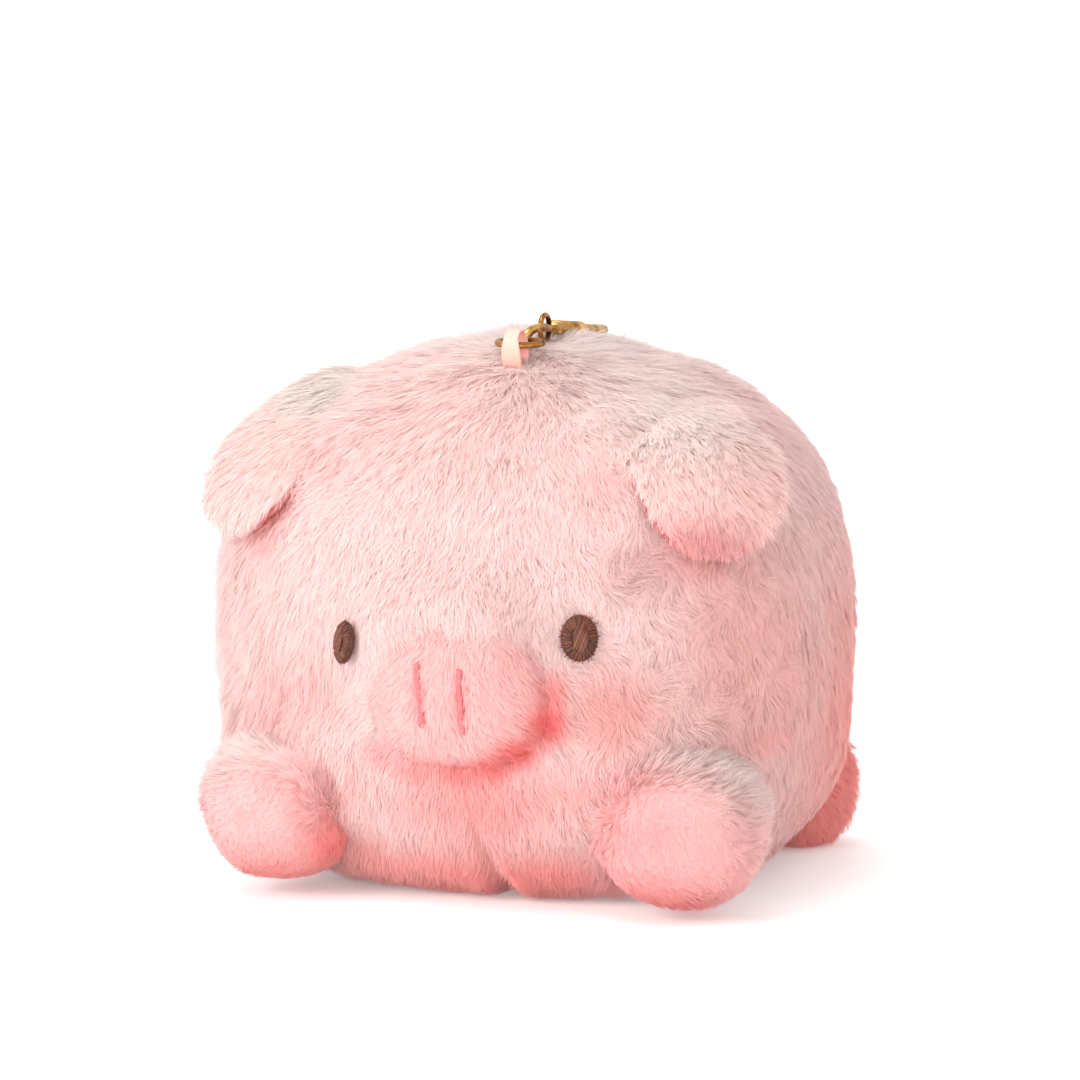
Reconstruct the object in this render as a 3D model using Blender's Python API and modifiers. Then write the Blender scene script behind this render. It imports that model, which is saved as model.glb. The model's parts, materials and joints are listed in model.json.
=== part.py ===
"""A plush pig with a ribbon loop and a brass clasp, lying on its belly.

Metres, +Z up. The pig faces -Y, its left side is +X, and the origin is the middle of its flat belly.
"""

import math

import bmesh
import bpy
from mathutils import Matrix, Vector

# Fabric and making
PLUSH = 0.0014  # backing with the dense foot of the pile
PAD_PLUSH = 0.0010  # short pile of the paw pads and the ear lining
SEAM_GAP = 0.0003  # between two sewn panels
STUFFING_GAP = 0.0005  # between a skin and the stuffing inside it
SEAT_GAP = 0.0003  # between a piece and what it is sewn to
OVERRUN = 0.006  # how far a cutter runs past what it cuts
FLAT_DEPTH = 0.0005  # how much of a rounded underside is pressed flat

# Body: a loaf whose upper half is rounder than its lower half
BODY_WIDTH = 0.1010
BODY_DEPTH = 0.0910
BODY_HEIGHT = 0.0875
BODY_PLAN_POWER = 2.6
BODY_UPPER_POWER = 2.35
BODY_LOWER_POWER = 4.2
BODY_CELLS = 8
CORE_CELLS = 6
RUMP_TAPER_SHARE = 0.13  # how much narrower the rump is than the cheeks
RUMP_TAPER_POWER = 1.5

# Seams: the face seam leans, the belly seam is level, the centre seam is upright.
# Places on the body are shares of its half width, half depth and height.
FACE_SEAM_TOP_SHARE = 0.4088
FACE_SEAM_FOOT_SHARE = 0.6374
BELLY_SEAM_SHARE = 0.08

# Snout: an oval cushion on the face
SNOUT_WIDTH = 0.0300
SNOUT_HEIGHT = 0.0265
SNOUT_DEPTH = 0.0240
SNOUT_REACH = 0.0085  # how far it stands out of the face
SNOUT_HEIGHT_SHARE = 0.4229
SNOUT_POWER = 2.5
SNOUT_CELLS = 6

# Nostrils: two upright bars of satin stitch
NOSTRIL_LENGTH = 0.0108
NOSTRIL_WIDTH = 0.0016
NOSTRIL_RISE = 0.0007
NOSTRIL_APART = 0.0066
NOSTRIL_DROP = 0.0020  # below the snout's middle

# Eyes: oval embroidery
EYE_WIDTH = 0.0062
EYE_HEIGHT = 0.0074
EYE_RISE = 0.0012
EYE_ASIDE_SHARE = 0.4079
LEFT_EYE_HEIGHT_SHARE = 0.5109
RIGHT_EYE_HEIGHT_SHARE = 0.4903
TRIM_CELLS = 4

# Forelegs: stuffed stubs with a smooth pad in front
FORELEG_WIDTH = 0.0252
FORELEG_LENGTH = 0.0280
FORELEG_HEIGHT = 0.0240
FORELEG_ASIDE_SHARE = 0.6634
FORELEG_AHEAD = 0.0080  # of the face
FORELEG_SPLAY = math.radians(12)
PAD_SEAM_FROM_MIDDLE = 0.0060
LEG_POWER = 2.3
LEG_CELLS = 5

# Hind legs: shorter stubs at the rear corners
HINDLEG_WIDTH = 0.0170
HINDLEG_LENGTH = 0.0200
HINDLEG_HEIGHT = 0.0215
HINDLEG_ASIDE_SHARE = 0.6485
HINDLEG_SHORT = 0.0025  # of the rump
HINDLEG_SPLAY = math.radians(-14)

# Ears: leaf-shaped flaps, sewn along a slanting root and folded down over the temple
EAR_ROOT_BACK_SHARES = (0.6634, -0.2198, 0.9143)
EAR_ROOT_FRONT_SHARES = (0.3762, -0.6374, 0.8400)
EAR_MIDDLE_SHARES = (0.8416, -0.6923, 0.8343)  # the curve's middle handle
EAR_TIP_SHARES = (0.8119, -0.8681, 0.6400)
EAR_WIDTH = 0.0238
EAR_MIDDLE_DIRECTION_SHARES = (-0.85, -0.52, 0.03)  # across its middle
EAR_CUP = 0.0022  # how far its middle stands above its edges
EAR_ROOT_DEPTH = 0.0050  # what of it would be inside the body before it is cut
EAR_ROOT_WIDTH_SHARE = 0.94
EAR_TIP_WIDTH_SHARE = 0.26
EAR_CELLS = 7
EAR_HINGE_BACK = 0.0060  # from its root line up the head to the line it folds about

# Tail: a short corkscrew of stuffed tube
TAIL_THICKNESS = 0.0046
TAIL_TIP_SHARE = 0.55
TAIL_COIL_RADIUS = 0.0030
TAIL_TURNS = 1.4
TAIL_PITCH = 0.0052
TAIL_ROOT = 0.0040
TAIL_HEIGHT_SHARE = 0.5943
TAIL_POINTS = 18

# Ribbon loop, sewn into the face seam at the top
RIBBON_WIDTH = 0.0044
RIBBON_THICKNESS = 0.0005
LOOP_HOLE_WIDTH = 0.0038
LOOP_HOLE_HEIGHT = 0.0050
LOOP_HOLE_RISE = 0.0019  # its middle above the body's crest
LOOP_POINTS = 20

# Jump ring through the ribbon loop
RING_WIRE = 0.0012
RING_DIAMETER = 0.0086  # outside
RING_SPLIT = 0.0003
RING_POINTS = 28

# Curb link: an oval twisted a quarter turn from its front end to its rear end
LINK_WIRE = 0.0011
LINK_LENGTH = 0.0098  # outside
LINK_WIDTH = 0.0053  # outside
LINK_POINTS = 30
LINK_GAP = 0.0003  # between the wires of two rings that hang in each other

# Connector ring, upright between the curb link and the clasp
CONNECTOR_WIRE = 0.0010
CONNECTOR_DIAMETER = 0.0054  # outside
TORUS_SEGMENTS = 22
WIRE_SEGMENTS = 8
CHAIN_RISE = 0.0011  # how far the chain climbs from the ring to the connector

# Clasp: a flat lobster claw, its lengths measured from the middle of its eye
EYE_RING_DIAMETER = 0.0044  # outside
EYE_RING_WIRE = 0.0010
CLASP_THICKNESS = 0.0026
SHOULDER_START = 0.0017
SHOULDER_END = 0.0088
SHOULDER_WIDTH = 0.0066
SHOULDER_NECK_SHARE = 0.45
SHOULDER_BEVEL = 0.0006
HOOK_WIRE = 0.0019
HOOK_WIDTH = 0.0074  # outside
HOOK_END = 0.0218  # outside of the bend, from the eye
HOOK_NOSE = 0.0165  # where the open side's nose ends
HOOK_POINTS = 10
SLOT_THICKNESS = 0.0016
SLOT_START = 0.0042
CLASP_PITCH = math.radians(-7.5)

# Gate: a lever on a pin, held shut by a coiled spring
GATE_THICKNESS = 0.0007
GATE_WIDTH = 0.0013
GATE_NOSE_GAP = 0.0003
THUMB_RISE = 0.0018
THUMB_LENGTH = 0.0024
PIN_DIAMETER = 0.0007
PIN_CLEARANCE = 0.00008
PIN_FROM_SLOT_START = 0.0016
PIN_SEGMENTS = 16
SPRING_WIRE = 0.00016
SPRING_DIAMETER = 0.00125  # at the middle of its wire
SPRING_TURNS = 2.0
SPRING_TURN_POINTS = 10

# Colours, in linear light
PALE_PINK = (0.86, 0.60, 0.58)
FACE_PINK = (0.88, 0.63, 0.60)
PAD_PINK = (0.95, 0.44, 0.45)
LINING_PINK = (0.84, 0.42, 0.43)
POLYFILL_WHITE = (0.88, 0.87, 0.84)
THREAD_BROWN = (0.085, 0.030, 0.020)
THREAD_CORAL = (0.72, 0.17, 0.16)
RIBBON_PEACH = (0.90, 0.52, 0.46)
BRASS = (0.62, 0.40, 0.16)

HALF = 0.5
HALF_TURN = math.pi
FULL_TURN = 2 * math.pi
UNIT_CUBE = 2.0  # from -1 to 1 each way, so that a corner's signs say which corner it is


def on_body(shares):
    """A place from its shares of the body's half width, half depth and height."""
    size = (BODY_WIDTH * HALF, BODY_DEPTH * HALF, BODY_HEIGHT)
    return Vector([share * length for share, length in zip(shares, size)])


FACE_SEAM_TOP_Y = -FACE_SEAM_TOP_SHARE * BODY_DEPTH * HALF
FACE_SEAM_FOOT_Y = -FACE_SEAM_FOOT_SHARE * BODY_DEPTH * HALF
BELLY_SEAM_Z = BELLY_SEAM_SHARE * BODY_HEIGHT
SNOUT_Z = SNOUT_HEIGHT_SHARE * BODY_HEIGHT
NOSTRIL_Z = SNOUT_Z - NOSTRIL_DROP
EYE_X = EYE_ASIDE_SHARE * BODY_WIDTH * HALF
FORELEG_X = FORELEG_ASIDE_SHARE * BODY_WIDTH * HALF
FORELEG_Y = -(BODY_DEPTH - FORELEG_LENGTH) * HALF - FORELEG_AHEAD
HINDLEG_X = HINDLEG_ASIDE_SHARE * BODY_WIDTH * HALF
HINDLEG_Y = (BODY_DEPTH - HINDLEG_LENGTH) * HALF - HINDLEG_SHORT
EAR_ROOT_BACK = on_body(EAR_ROOT_BACK_SHARES)
EAR_ROOT_FRONT = on_body(EAR_ROOT_FRONT_SHARES)
EAR_MIDDLE = on_body(EAR_MIDDLE_SHARES)
EAR_TIP = on_body(EAR_TIP_SHARES)
EAR_MIDDLE_DIRECTION = Vector(EAR_MIDDLE_DIRECTION_SHARES)
TAIL_Z = TAIL_HEIGHT_SHARE * BODY_HEIGHT
LOOP_HOLE_Z = BODY_HEIGHT + LOOP_HOLE_RISE


def clear_scene():
    for item in list(bpy.data.objects):
        bpy.data.objects.remove(item)


def collection(name):
    made = bpy.data.collections.new(name)
    bpy.context.scene.collection.children.link(made)
    return made


clear_scene()
PIG = collection("plush_pig")
CUTTERS = collection("cutters")
SIDES = (("left", 1), ("right", -1))


def material(name, colour, roughness, metallic=0.0):
    made = bpy.data.materials.new(name)
    made.use_nodes = True
    shader = made.node_tree.nodes["Principled BSDF"]
    shader.inputs["Base Color"].default_value = (*colour, 1.0)
    shader.inputs["Roughness"].default_value = roughness
    shader.inputs["Metallic"].default_value = metallic
    return made


FACE_PLUSH = material("face_plush", FACE_PINK, 0.95)
BODY_PLUSH = material("body_plush", PALE_PINK, 0.95)
PAD_VELOUR = material("pad_velour", PAD_PINK, 0.9)
LINING_VELOUR = material("lining_velour", LINING_PINK, 0.9)
POLYFILL = material("polyfill", POLYFILL_WHITE, 1.0)
EYE_THREAD = material("eye_thread", THREAD_BROWN, 0.6)
NOSTRIL_THREAD = material("nostril_thread", THREAD_CORAL, 0.6)
SATIN_RIBBON = material("satin_ribbon", RIBBON_PEACH, 0.5)
BRIGHT_BRASS = material("bright_brass", BRASS, 0.25, 1.0)
SPRING_STEEL = material("spring_steel", (0.55, 0.55, 0.56), 0.3, 1.0)


def add(name, mesh, finish, parent=None, smooth=True):
    """One sub-part as an object in the pig's collection."""
    item = bpy.data.objects.new(name, mesh)
    PIG.objects.link(item)
    mesh.materials.clear()
    mesh.materials.append(finish)
    if smooth:
        mesh.shade_smooth()
    if parent:
        item.parent = parent
        item.matrix_parent_inverse = parent.matrix_world.inverted()
    return item


def cutter(name, mesh):
    item = bpy.data.objects.new(name, mesh)
    CUTTERS.objects.link(item)
    item.hide_render = True
    item.display_type = "WIRE"
    return item


def boolean(item, operation, other):
    modifier = item.modifiers.new(f"{operation.lower()}_{other.name}", "BOOLEAN")
    modifier.operation = operation
    modifier.solver = "EXACT"
    modifier.object = other


def intersect(item, other):
    boolean(item, "INTERSECT", other)


def cut(item, other):
    boolean(item, "DIFFERENCE", other)


def unite(item, other):
    boolean(item, "UNION", other)


def mesh_of_curve(item):
    """The curve's solid as a mesh in world space, with its caps welded on. The curve is removed."""
    bpy.context.view_layer.update()
    graph = bpy.context.evaluated_depsgraph_get()
    mesh = bpy.data.meshes.new_from_object(item.evaluated_get(graph))
    mesh.transform(item.matrix_world)
    bpy.data.objects.remove(item)
    form = bmesh.new()
    form.from_mesh(mesh)
    bmesh.ops.remove_doubles(form, verts=form.verts[:], dist=1e-7)
    bmesh.ops.recalc_face_normals(form, faces=form.faces[:])
    form.to_mesh(mesh)
    form.free()
    return mesh


def wire(name, points, thickness, closed=False, shares=None, sides=2):
    """A round wire along the points, as a curve object; shares thin it from point to point."""
    data = bpy.data.curves.new(name, "CURVE")
    data.dimensions = "3D"
    data.bevel_depth = thickness * HALF
    data.bevel_resolution = sides
    data.use_fill_caps = True
    spline = data.splines.new("POLY")
    spline.points.add(len(points) - 1)
    for index, (target, point) in enumerate(zip(spline.points, points)):
        target.co = (*point, 1.0)
        target.radius = shares[index] if shares else 1.0
    spline.use_cyclic_u = closed
    item = bpy.data.objects.new(name, data)
    bpy.context.scene.collection.objects.link(item)
    return item


def plate(name, outlines, thickness):
    """A flat outline in the XY plane, with any holes, as thick as asked and centred on the plane."""
    data = bpy.data.curves.new(name, "CURVE")
    data.dimensions = "2D"
    data.fill_mode = "BOTH"
    data.extrude = thickness * HALF
    for outline in outlines:
        spline = data.splines.new("POLY")
        spline.points.add(len(outline) - 1)
        for target, (x, y) in zip(spline.points, outline):
            target.co = (x, y, 0.0, 1.0)
        spline.use_cyclic_u = True
    item = bpy.data.objects.new(name, data)
    bpy.context.scene.collection.objects.link(item)
    return item


def arc(centre, radius, start, end, count):
    """Points on a flat arc, both ends included."""
    turns = [start + (end - start) * step / (count - 1) for step in range(count)]
    return [(centre[0] + radius * math.cos(a), centre[1] + radius * math.sin(a)) for a in turns]


def rounded_form(name, size, powers, cells):
    """A closed rounded form about the origin: a cube's grid, pushed out to a super-ellipsoid.

    powers are those of the plan, the upper half and the lower half: 2 is an ellipse, more is boxier.
    """
    plan, upper, lower = powers
    form = bmesh.new()
    bmesh.ops.create_cube(form, size=UNIT_CUBE)
    bmesh.ops.subdivide_edges(form, edges=form.edges[:], cuts=cells - 1, use_grid_fill=True)
    for vert in form.verts:
        x, y, z = (math.tan(value * HALF_TURN / 4) for value in vert.co)
        power = upper if z >= 0 else lower
        flat = (abs(x) ** plan + abs(y) ** plan) ** (power / plan)
        reach = (flat + abs(z) ** power) ** (-1 / power)
        vert.co = Vector((x * size[0], y * size[1], z * size[2])) * reach * HALF
    # The same diagonals at every size keep one form parallel to another inside it.
    bmesh.ops.triangulate(form, faces=form.faces[:], quad_method="FIXED")
    mesh = bpy.data.meshes.new(name)
    form.to_mesh(mesh)
    form.free()
    return mesh


def body_mesh(name, inset, cells):
    """The body's form, smaller all round by the inset. Its pressed underside dips below the floor."""
    height = BODY_HEIGHT + FLAT_DEPTH
    size = (BODY_WIDTH - 2 * inset, BODY_DEPTH - 2 * inset, height - 2 * inset)
    powers = (BODY_PLAN_POWER, BODY_UPPER_POWER, BODY_LOWER_POWER)
    mesh = rounded_form(name, size, powers, cells)
    for vert in mesh.vertices:
        rearward = max(0.0, vert.co.y / (BODY_DEPTH * HALF))
        vert.co.x *= 1 - RUMP_TAPER_SHARE * rearward**RUMP_TAPER_POWER
    mesh.transform(Matrix.Translation((0, 0, BODY_HEIGHT - height * HALF)))
    return mesh


def body_point(x, z, front=True):
    """The body's surface point at this x and height, with the outward direction there."""
    middle = BODY_HEIGHT - (BODY_HEIGHT + FLAT_DEPTH) * HALF
    half_height = (BODY_HEIGHT + FLAT_DEPTH) * HALF
    power = BODY_UPPER_POWER if z >= middle else BODY_LOWER_POWER
    rise = (z - middle) / half_height
    flat = (1 - abs(rise) ** power) ** (BODY_PLAN_POWER / power)
    side = abs(x) / (BODY_WIDTH * HALF)
    reach = (flat - side**BODY_PLAN_POWER) ** (1 / BODY_PLAN_POWER)
    y = reach * BODY_DEPTH * HALF
    slope_x = side ** (BODY_PLAN_POWER - 1) / (BODY_WIDTH * HALF) * math.copysign(1, x)
    slope_y = reach ** (BODY_PLAN_POWER - 1) / (BODY_DEPTH * HALF)
    slope_z = (
        abs(rise) ** (power - 1)
        * (1 - abs(rise) ** power) ** (BODY_PLAN_POWER / power - 1)
        / half_height
        * math.copysign(1, rise)
    )
    outward = Vector((slope_x, -slope_y if front else slope_y, slope_z)).normalized()
    return Vector((x, -y if front else y, z)), outward


def top_height(y):
    """The body's height on its centre plane."""
    half_height = (BODY_HEIGHT + FLAT_DEPTH) * HALF
    along = abs(y) / (BODY_DEPTH * HALF)
    rise = (1 - along**BODY_UPPER_POWER) ** (1 / BODY_UPPER_POWER)
    return BODY_HEIGHT - half_height + half_height * rise


def face_seam_y(z):
    """Where the leaning face seam is at this height."""
    share = (z - BELLY_SEAM_Z) / (BODY_HEIGHT - BELLY_SEAM_Z)
    return FACE_SEAM_FOOT_Y + (FACE_SEAM_TOP_Y - FACE_SEAM_FOOT_Y) * share


def region(name, low, high, seam_end=None):
    """A box that takes one panel out of the shell; its seam end leans with the face seam."""
    form = bmesh.new()
    bmesh.ops.create_cube(form, size=UNIT_CUBE)
    for vert in form.verts:
        corner = [high[i] if vert.co[i] > 0 else low[i] for i in range(3)]
        if seam_end == "front" and vert.co.y > 0:
            corner[1] = face_seam_y(corner[2]) - SEAM_GAP * HALF
        if seam_end == "back" and vert.co.y < 0:
            corner[1] = face_seam_y(corner[2]) + SEAM_GAP * HALF
        vert.co = corner
    mesh = bpy.data.meshes.new(name)
    form.to_mesh(mesh)
    form.free()
    return cutter(name, mesh)


ROOM = BODY_WIDTH  # half the width of the boxes that take whole sides

BODY_INNER = cutter("body_inner", body_mesh("body_inner", PLUSH, BODY_CELLS))
BODY_CLEARANCE = cutter("body_clearance", body_mesh("body_clearance", -SEAT_GAP, BODY_CELLS))
FLOOR = region("floor", (-ROOM, -ROOM, -OVERRUN), (ROOM, ROOM, 0.0))


def make_panel(name, finish, low, high, seam_end=None):
    """One panel of the skin: the body's form, kept inside its region and hollowed by the inner form."""
    panel = add(name, body_mesh(name, 0.0, BODY_CELLS), finish)
    intersect(panel, region(f"{name}_region", low, high, seam_end))
    cut(panel, BODY_INNER)
    return panel


def make_body():
    seam = SEAM_GAP * HALF
    side_low = BELLY_SEAM_Z + seam
    for side, sign in SIDES:
        across = (seam, ROOM) if sign > 0 else (-ROOM, -seam)
        make_panel(
            f"face_panel_{side}",
            FACE_PLUSH,
            (across[0], -ROOM, side_low),
            (across[1], 0.0, ROOM),
            "front",
        )
        make_panel(
            f"flank_panel_{side}",
            BODY_PLUSH,
            (across[0], 0.0, side_low),
            (across[1], ROOM, ROOM),
            "back",
        )
    make_panel(
        "belly_panel",
        BODY_PLUSH,
        (-ROOM, -ROOM, 0.0),
        (ROOM, ROOM, BELLY_SEAM_Z - seam),
    )
    inset = PLUSH + STUFFING_GAP
    add("body_stuffing", body_mesh("body_stuffing", inset, CORE_CELLS), POLYFILL)


def stub_mesh(name, size, splay, place, inset, cells=LEG_CELLS):
    """A leg's rounded form, smaller all round by the inset, turned outwards and put in its place."""
    smaller = [value - 2 * inset for value in size]
    mesh = rounded_form(name, smaller, (LEG_POWER,) * 3, cells)
    mesh.transform(Matrix.Translation(place) @ Matrix.Rotation(splay, 4, "Z"))
    return mesh


def cover_and_stuffing(name, form, finish):
    """A hollow cover that is open where it meets the body, and the stuffing inside it.

    form(name, inset) gives the mesh of the form, smaller by the inset.
    """
    cover = add(f"{name}_cover", form(f"{name}_cover", 0.0), finish)
    cut(cover, cutter(f"{name}_hollow", form(f"{name}_hollow", PLUSH)))
    stuffing = add(f"{name}_stuffing", form(f"{name}_stuffing", PLUSH + STUFFING_GAP), POLYFILL)
    for item in (cover, stuffing):
        cut(item, BODY_CLEARANCE)
        cut(item, FLOOR)
    return cover


def pad_region(name, place, splay, front):
    """A box in front of a foreleg's pad seam, or behind it."""
    form = bmesh.new()
    bmesh.ops.create_cube(form, size=UNIT_CUBE)
    seam_y = -PAD_SEAM_FROM_MIDDLE + SEAM_GAP * HALF * (-1 if front else 1)
    end_y = FORELEG_LENGTH * (-1 if front else 1)
    for vert in form.verts:
        outer = vert.co.y < 0 if front else vert.co.y > 0
        vert.co = (
            vert.co.x * FORELEG_LENGTH,
            end_y if outer else seam_y,
            vert.co.z * FORELEG_LENGTH,
        )
    mesh = bpy.data.meshes.new(name)
    form.to_mesh(mesh)
    form.free()
    mesh.transform(Matrix.Translation(place) @ Matrix.Rotation(splay, 4, "Z"))
    return cutter(name, mesh)


def make_forelegs():
    size = (FORELEG_WIDTH, FORELEG_LENGTH, FORELEG_HEIGHT + FLAT_DEPTH)
    middle = (FORELEG_HEIGHT - FLAT_DEPTH) * HALF
    for side, sign in SIDES:
        place = Vector((sign * FORELEG_X, FORELEG_Y, middle))
        splay = sign * FORELEG_SPLAY
        name = f"foreleg_{side}"

        def form(part, inset, place=place, splay=splay):
            return stub_mesh(part, size, splay, place, inset)

        cover = cover_and_stuffing(name, form, BODY_PLUSH)
        intersect(cover, pad_region(f"{name}_behind_seam", place, splay, False))
        pad = add(f"paw_pad_{side}", form(f"paw_pad_{side}", 0.0), PAD_VELOUR)
        intersect(pad, pad_region(f"{name}_before_seam", place, splay, True))
        cut(pad, bpy.data.objects[f"{name}_hollow"])
        cut(pad, BODY_CLEARANCE)
        cut(pad, FLOOR)


def make_hindlegs():
    size = (HINDLEG_WIDTH, HINDLEG_LENGTH, HINDLEG_HEIGHT + FLAT_DEPTH)
    middle = (HINDLEG_HEIGHT - FLAT_DEPTH) * HALF
    for side, sign in SIDES:
        place = Vector((sign * HINDLEG_X, HINDLEG_Y, middle))
        splay = sign * HINDLEG_SPLAY

        def form(part, inset, place=place, splay=splay):
            return stub_mesh(part, size, splay, place, inset)

        cover_and_stuffing(f"hindleg_{side}", form, BODY_PLUSH)


def snout_mesh(name, inset):
    face_y = body_point(0.0, SNOUT_Z)[0].y
    place = Vector((0.0, face_y - SNOUT_REACH + SNOUT_DEPTH * HALF, SNOUT_Z))
    size = [value - 2 * inset for value in (SNOUT_WIDTH, SNOUT_DEPTH, SNOUT_HEIGHT)]
    mesh = rounded_form(name, size, (SNOUT_POWER,) * 3, SNOUT_CELLS)
    mesh.transform(Matrix.Translation(place))
    return mesh


def make_snout():
    cover_and_stuffing("snout", snout_mesh, FACE_PLUSH)
    clearance = cutter("snout_clearance", snout_mesh("snout_clearance", -SEAT_GAP))
    front_y = body_point(0.0, SNOUT_Z)[0].y - SNOUT_REACH
    for side, sign in SIDES:
        name = f"nostril_stitch_{side}"
        size = (NOSTRIL_WIDTH, 2 * NOSTRIL_RISE + NOSTRIL_WIDTH, NOSTRIL_LENGTH)
        mesh = rounded_form(name, size, (LEG_POWER,) * 3, TRIM_CELLS)
        place = Vector((sign * NOSTRIL_APART * HALF, front_y + NOSTRIL_WIDTH * HALF, NOSTRIL_Z))
        bow = Vector((0.0, 0.0, SNOUT_Z - NOSTRIL_Z))
        for vert in mesh.vertices:
            up = (vert.co.z - bow.z) / (SNOUT_HEIGHT * HALF)
            vert.co.y += SNOUT_DEPTH * HALF * (1 - (1 - abs(up) ** SNOUT_POWER) ** (1 / SNOUT_POWER))
        mesh.transform(Matrix.Translation(place))
        cut(add(name, mesh, NOSTRIL_THREAD), clearance)


def make_eyes():
    heights = {"left": LEFT_EYE_HEIGHT_SHARE, "right": RIGHT_EYE_HEIGHT_SHARE}
    for side, sign in SIDES:
        point, outward = body_point(sign * EYE_X, heights[side] * BODY_HEIGHT)
        name = f"eye_embroidery_{side}"
        size = (EYE_WIDTH, 2 * EYE_RISE, EYE_HEIGHT)
        mesh = rounded_form(name, size, (LEG_POWER,) * 3, TRIM_CELLS)
        across = Vector((0, 0, 1)).cross(outward).normalized()
        up = outward.cross(across)
        turn = Matrix((across, -outward, up)).transposed().to_4x4()
        if turn.determinant() < 0:
            turn = Matrix((-across, -outward, up)).transposed().to_4x4()
        mesh.transform(Matrix.Translation(point) @ turn)
        cut(add(name, mesh, EYE_THREAD), BODY_CLEARANCE)


def ear_surface(sign, lift):
    """The ear's middle surface as a grid, moved off itself by lift towards its furry face."""
    root = (EAR_ROOT_BACK + EAR_ROOT_FRONT) * HALF
    start = (EAR_ROOT_FRONT - EAR_ROOT_BACK).normalized()
    end = EAR_MIDDLE_DIRECTION.normalized()
    form = bmesh.new()
    bmesh.ops.create_grid(form, x_segments=EAR_CELLS, y_segments=EAR_CELLS, size=1.0)
    curve_length = (EAR_MIDDLE - root).length + (EAR_TIP - EAR_MIDDLE).length
    first = -EAR_ROOT_DEPTH / curve_length
    for vert in form.verts:
        along = first + (1 - first) * (vert.co.y + 1) * HALF
        side = vert.co.x
        centre = root * (1 - along) ** 2 + EAR_MIDDLE * 2 * along * (1 - along) + EAR_TIP * along**2
        forward = (EAR_MIDDLE - root) * (1 - along) + (EAR_TIP - EAR_MIDDLE) * along
        across = start.lerp(end, min(1.0, max(0.0, 2 * along))).normalized()
        outward = across.cross(forward).normalized()
        if along < HALF:
            rest = (HALF - along) / HALF
            share = 1 - (1 - EAR_ROOT_WIDTH_SHARE) * min(1.0, rest) ** 2
        else:
            rest = (along - HALF) / HALF
            share = EAR_TIP_WIDTH_SHARE + (1 - EAR_TIP_WIDTH_SHARE) * math.sqrt(1 - rest**2.2)
        cup = EAR_CUP * (1 - side**2) * share
        spot = centre + across * side * EAR_WIDTH * HALF * share + outward * (cup + lift)
        vert.co = (sign * spot.x, spot.y, spot.z)
    if sign < 0:
        bmesh.ops.reverse_faces(form, faces=form.faces[:])
    return form


def ear_hinge(side, sign):
    """The empty on the line that an ear folds about, just behind its root."""
    root = (EAR_ROOT_BACK + EAR_ROOT_FRONT) * HALF
    place = root - (EAR_MIDDLE - root).normalized() * EAR_HINGE_BACK
    return pivot(f"ear_{side}_hinge", (sign * place.x, place.y, place.z))


def ear_layer(name, sign, lift, thickness, finish, hinge):
    """One fabric layer of an ear: the grid with its thickness, cut where the body is."""
    form = ear_surface(sign, lift)
    mesh = bpy.data.meshes.new(name)
    form.to_mesh(mesh)
    form.free()
    layer = add(name, mesh, finish, hinge)
    wall = layer.modifiers.new("thickness", "SOLIDIFY")
    wall.thickness = thickness
    wall.offset = 1.0
    wall.use_even_offset = False
    cut(layer, BODY_CLEARANCE)
    return layer


def make_ears():
    for side, sign in SIDES:
        hinge = ear_hinge(side, sign)
        ear_layer(f"ear_{side}_plush", sign, SEAM_GAP * HALF, PLUSH, BODY_PLUSH, hinge)
        lift = -SEAM_GAP * HALF - PAD_PLUSH
        ear_layer(f"ear_{side}_lining", sign, lift, PAD_PLUSH, LINING_VELOUR, hinge)


def make_tail():
    """A corkscrew whose axis runs out of the rump, its root standing in the rear seam."""
    point, _ = body_point(0.0, TAIL_Z, front=False)
    points = [Vector((0.0, point.y - TAIL_THICKNESS, TAIL_Z - TAIL_COIL_RADIUS * HALF))]
    for step in range(TAIL_POINTS):
        share = step / (TAIL_POINTS - 1)
        turn = TAIL_TURNS * FULL_TURN * share
        swell = min(1.0, 2 * share)
        reach = TAIL_COIL_RADIUS * swell
        points.append(
            Vector(
                (
                    reach * math.sin(turn),
                    point.y + TAIL_ROOT * HALF + TAIL_PITCH * TAIL_TURNS * share,
                    TAIL_Z - reach * math.cos(turn),
                )
            )
        )
    shares = [1 - (1 - TAIL_TIP_SHARE) * i / TAIL_POINTS for i in range(TAIL_POINTS + 1)]
    mesh = mesh_of_curve(wire("tail", points, TAIL_THICKNESS, shares=shares))
    cut(add("tail", mesh, BODY_PLUSH), BODY_CLEARANCE)


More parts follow.
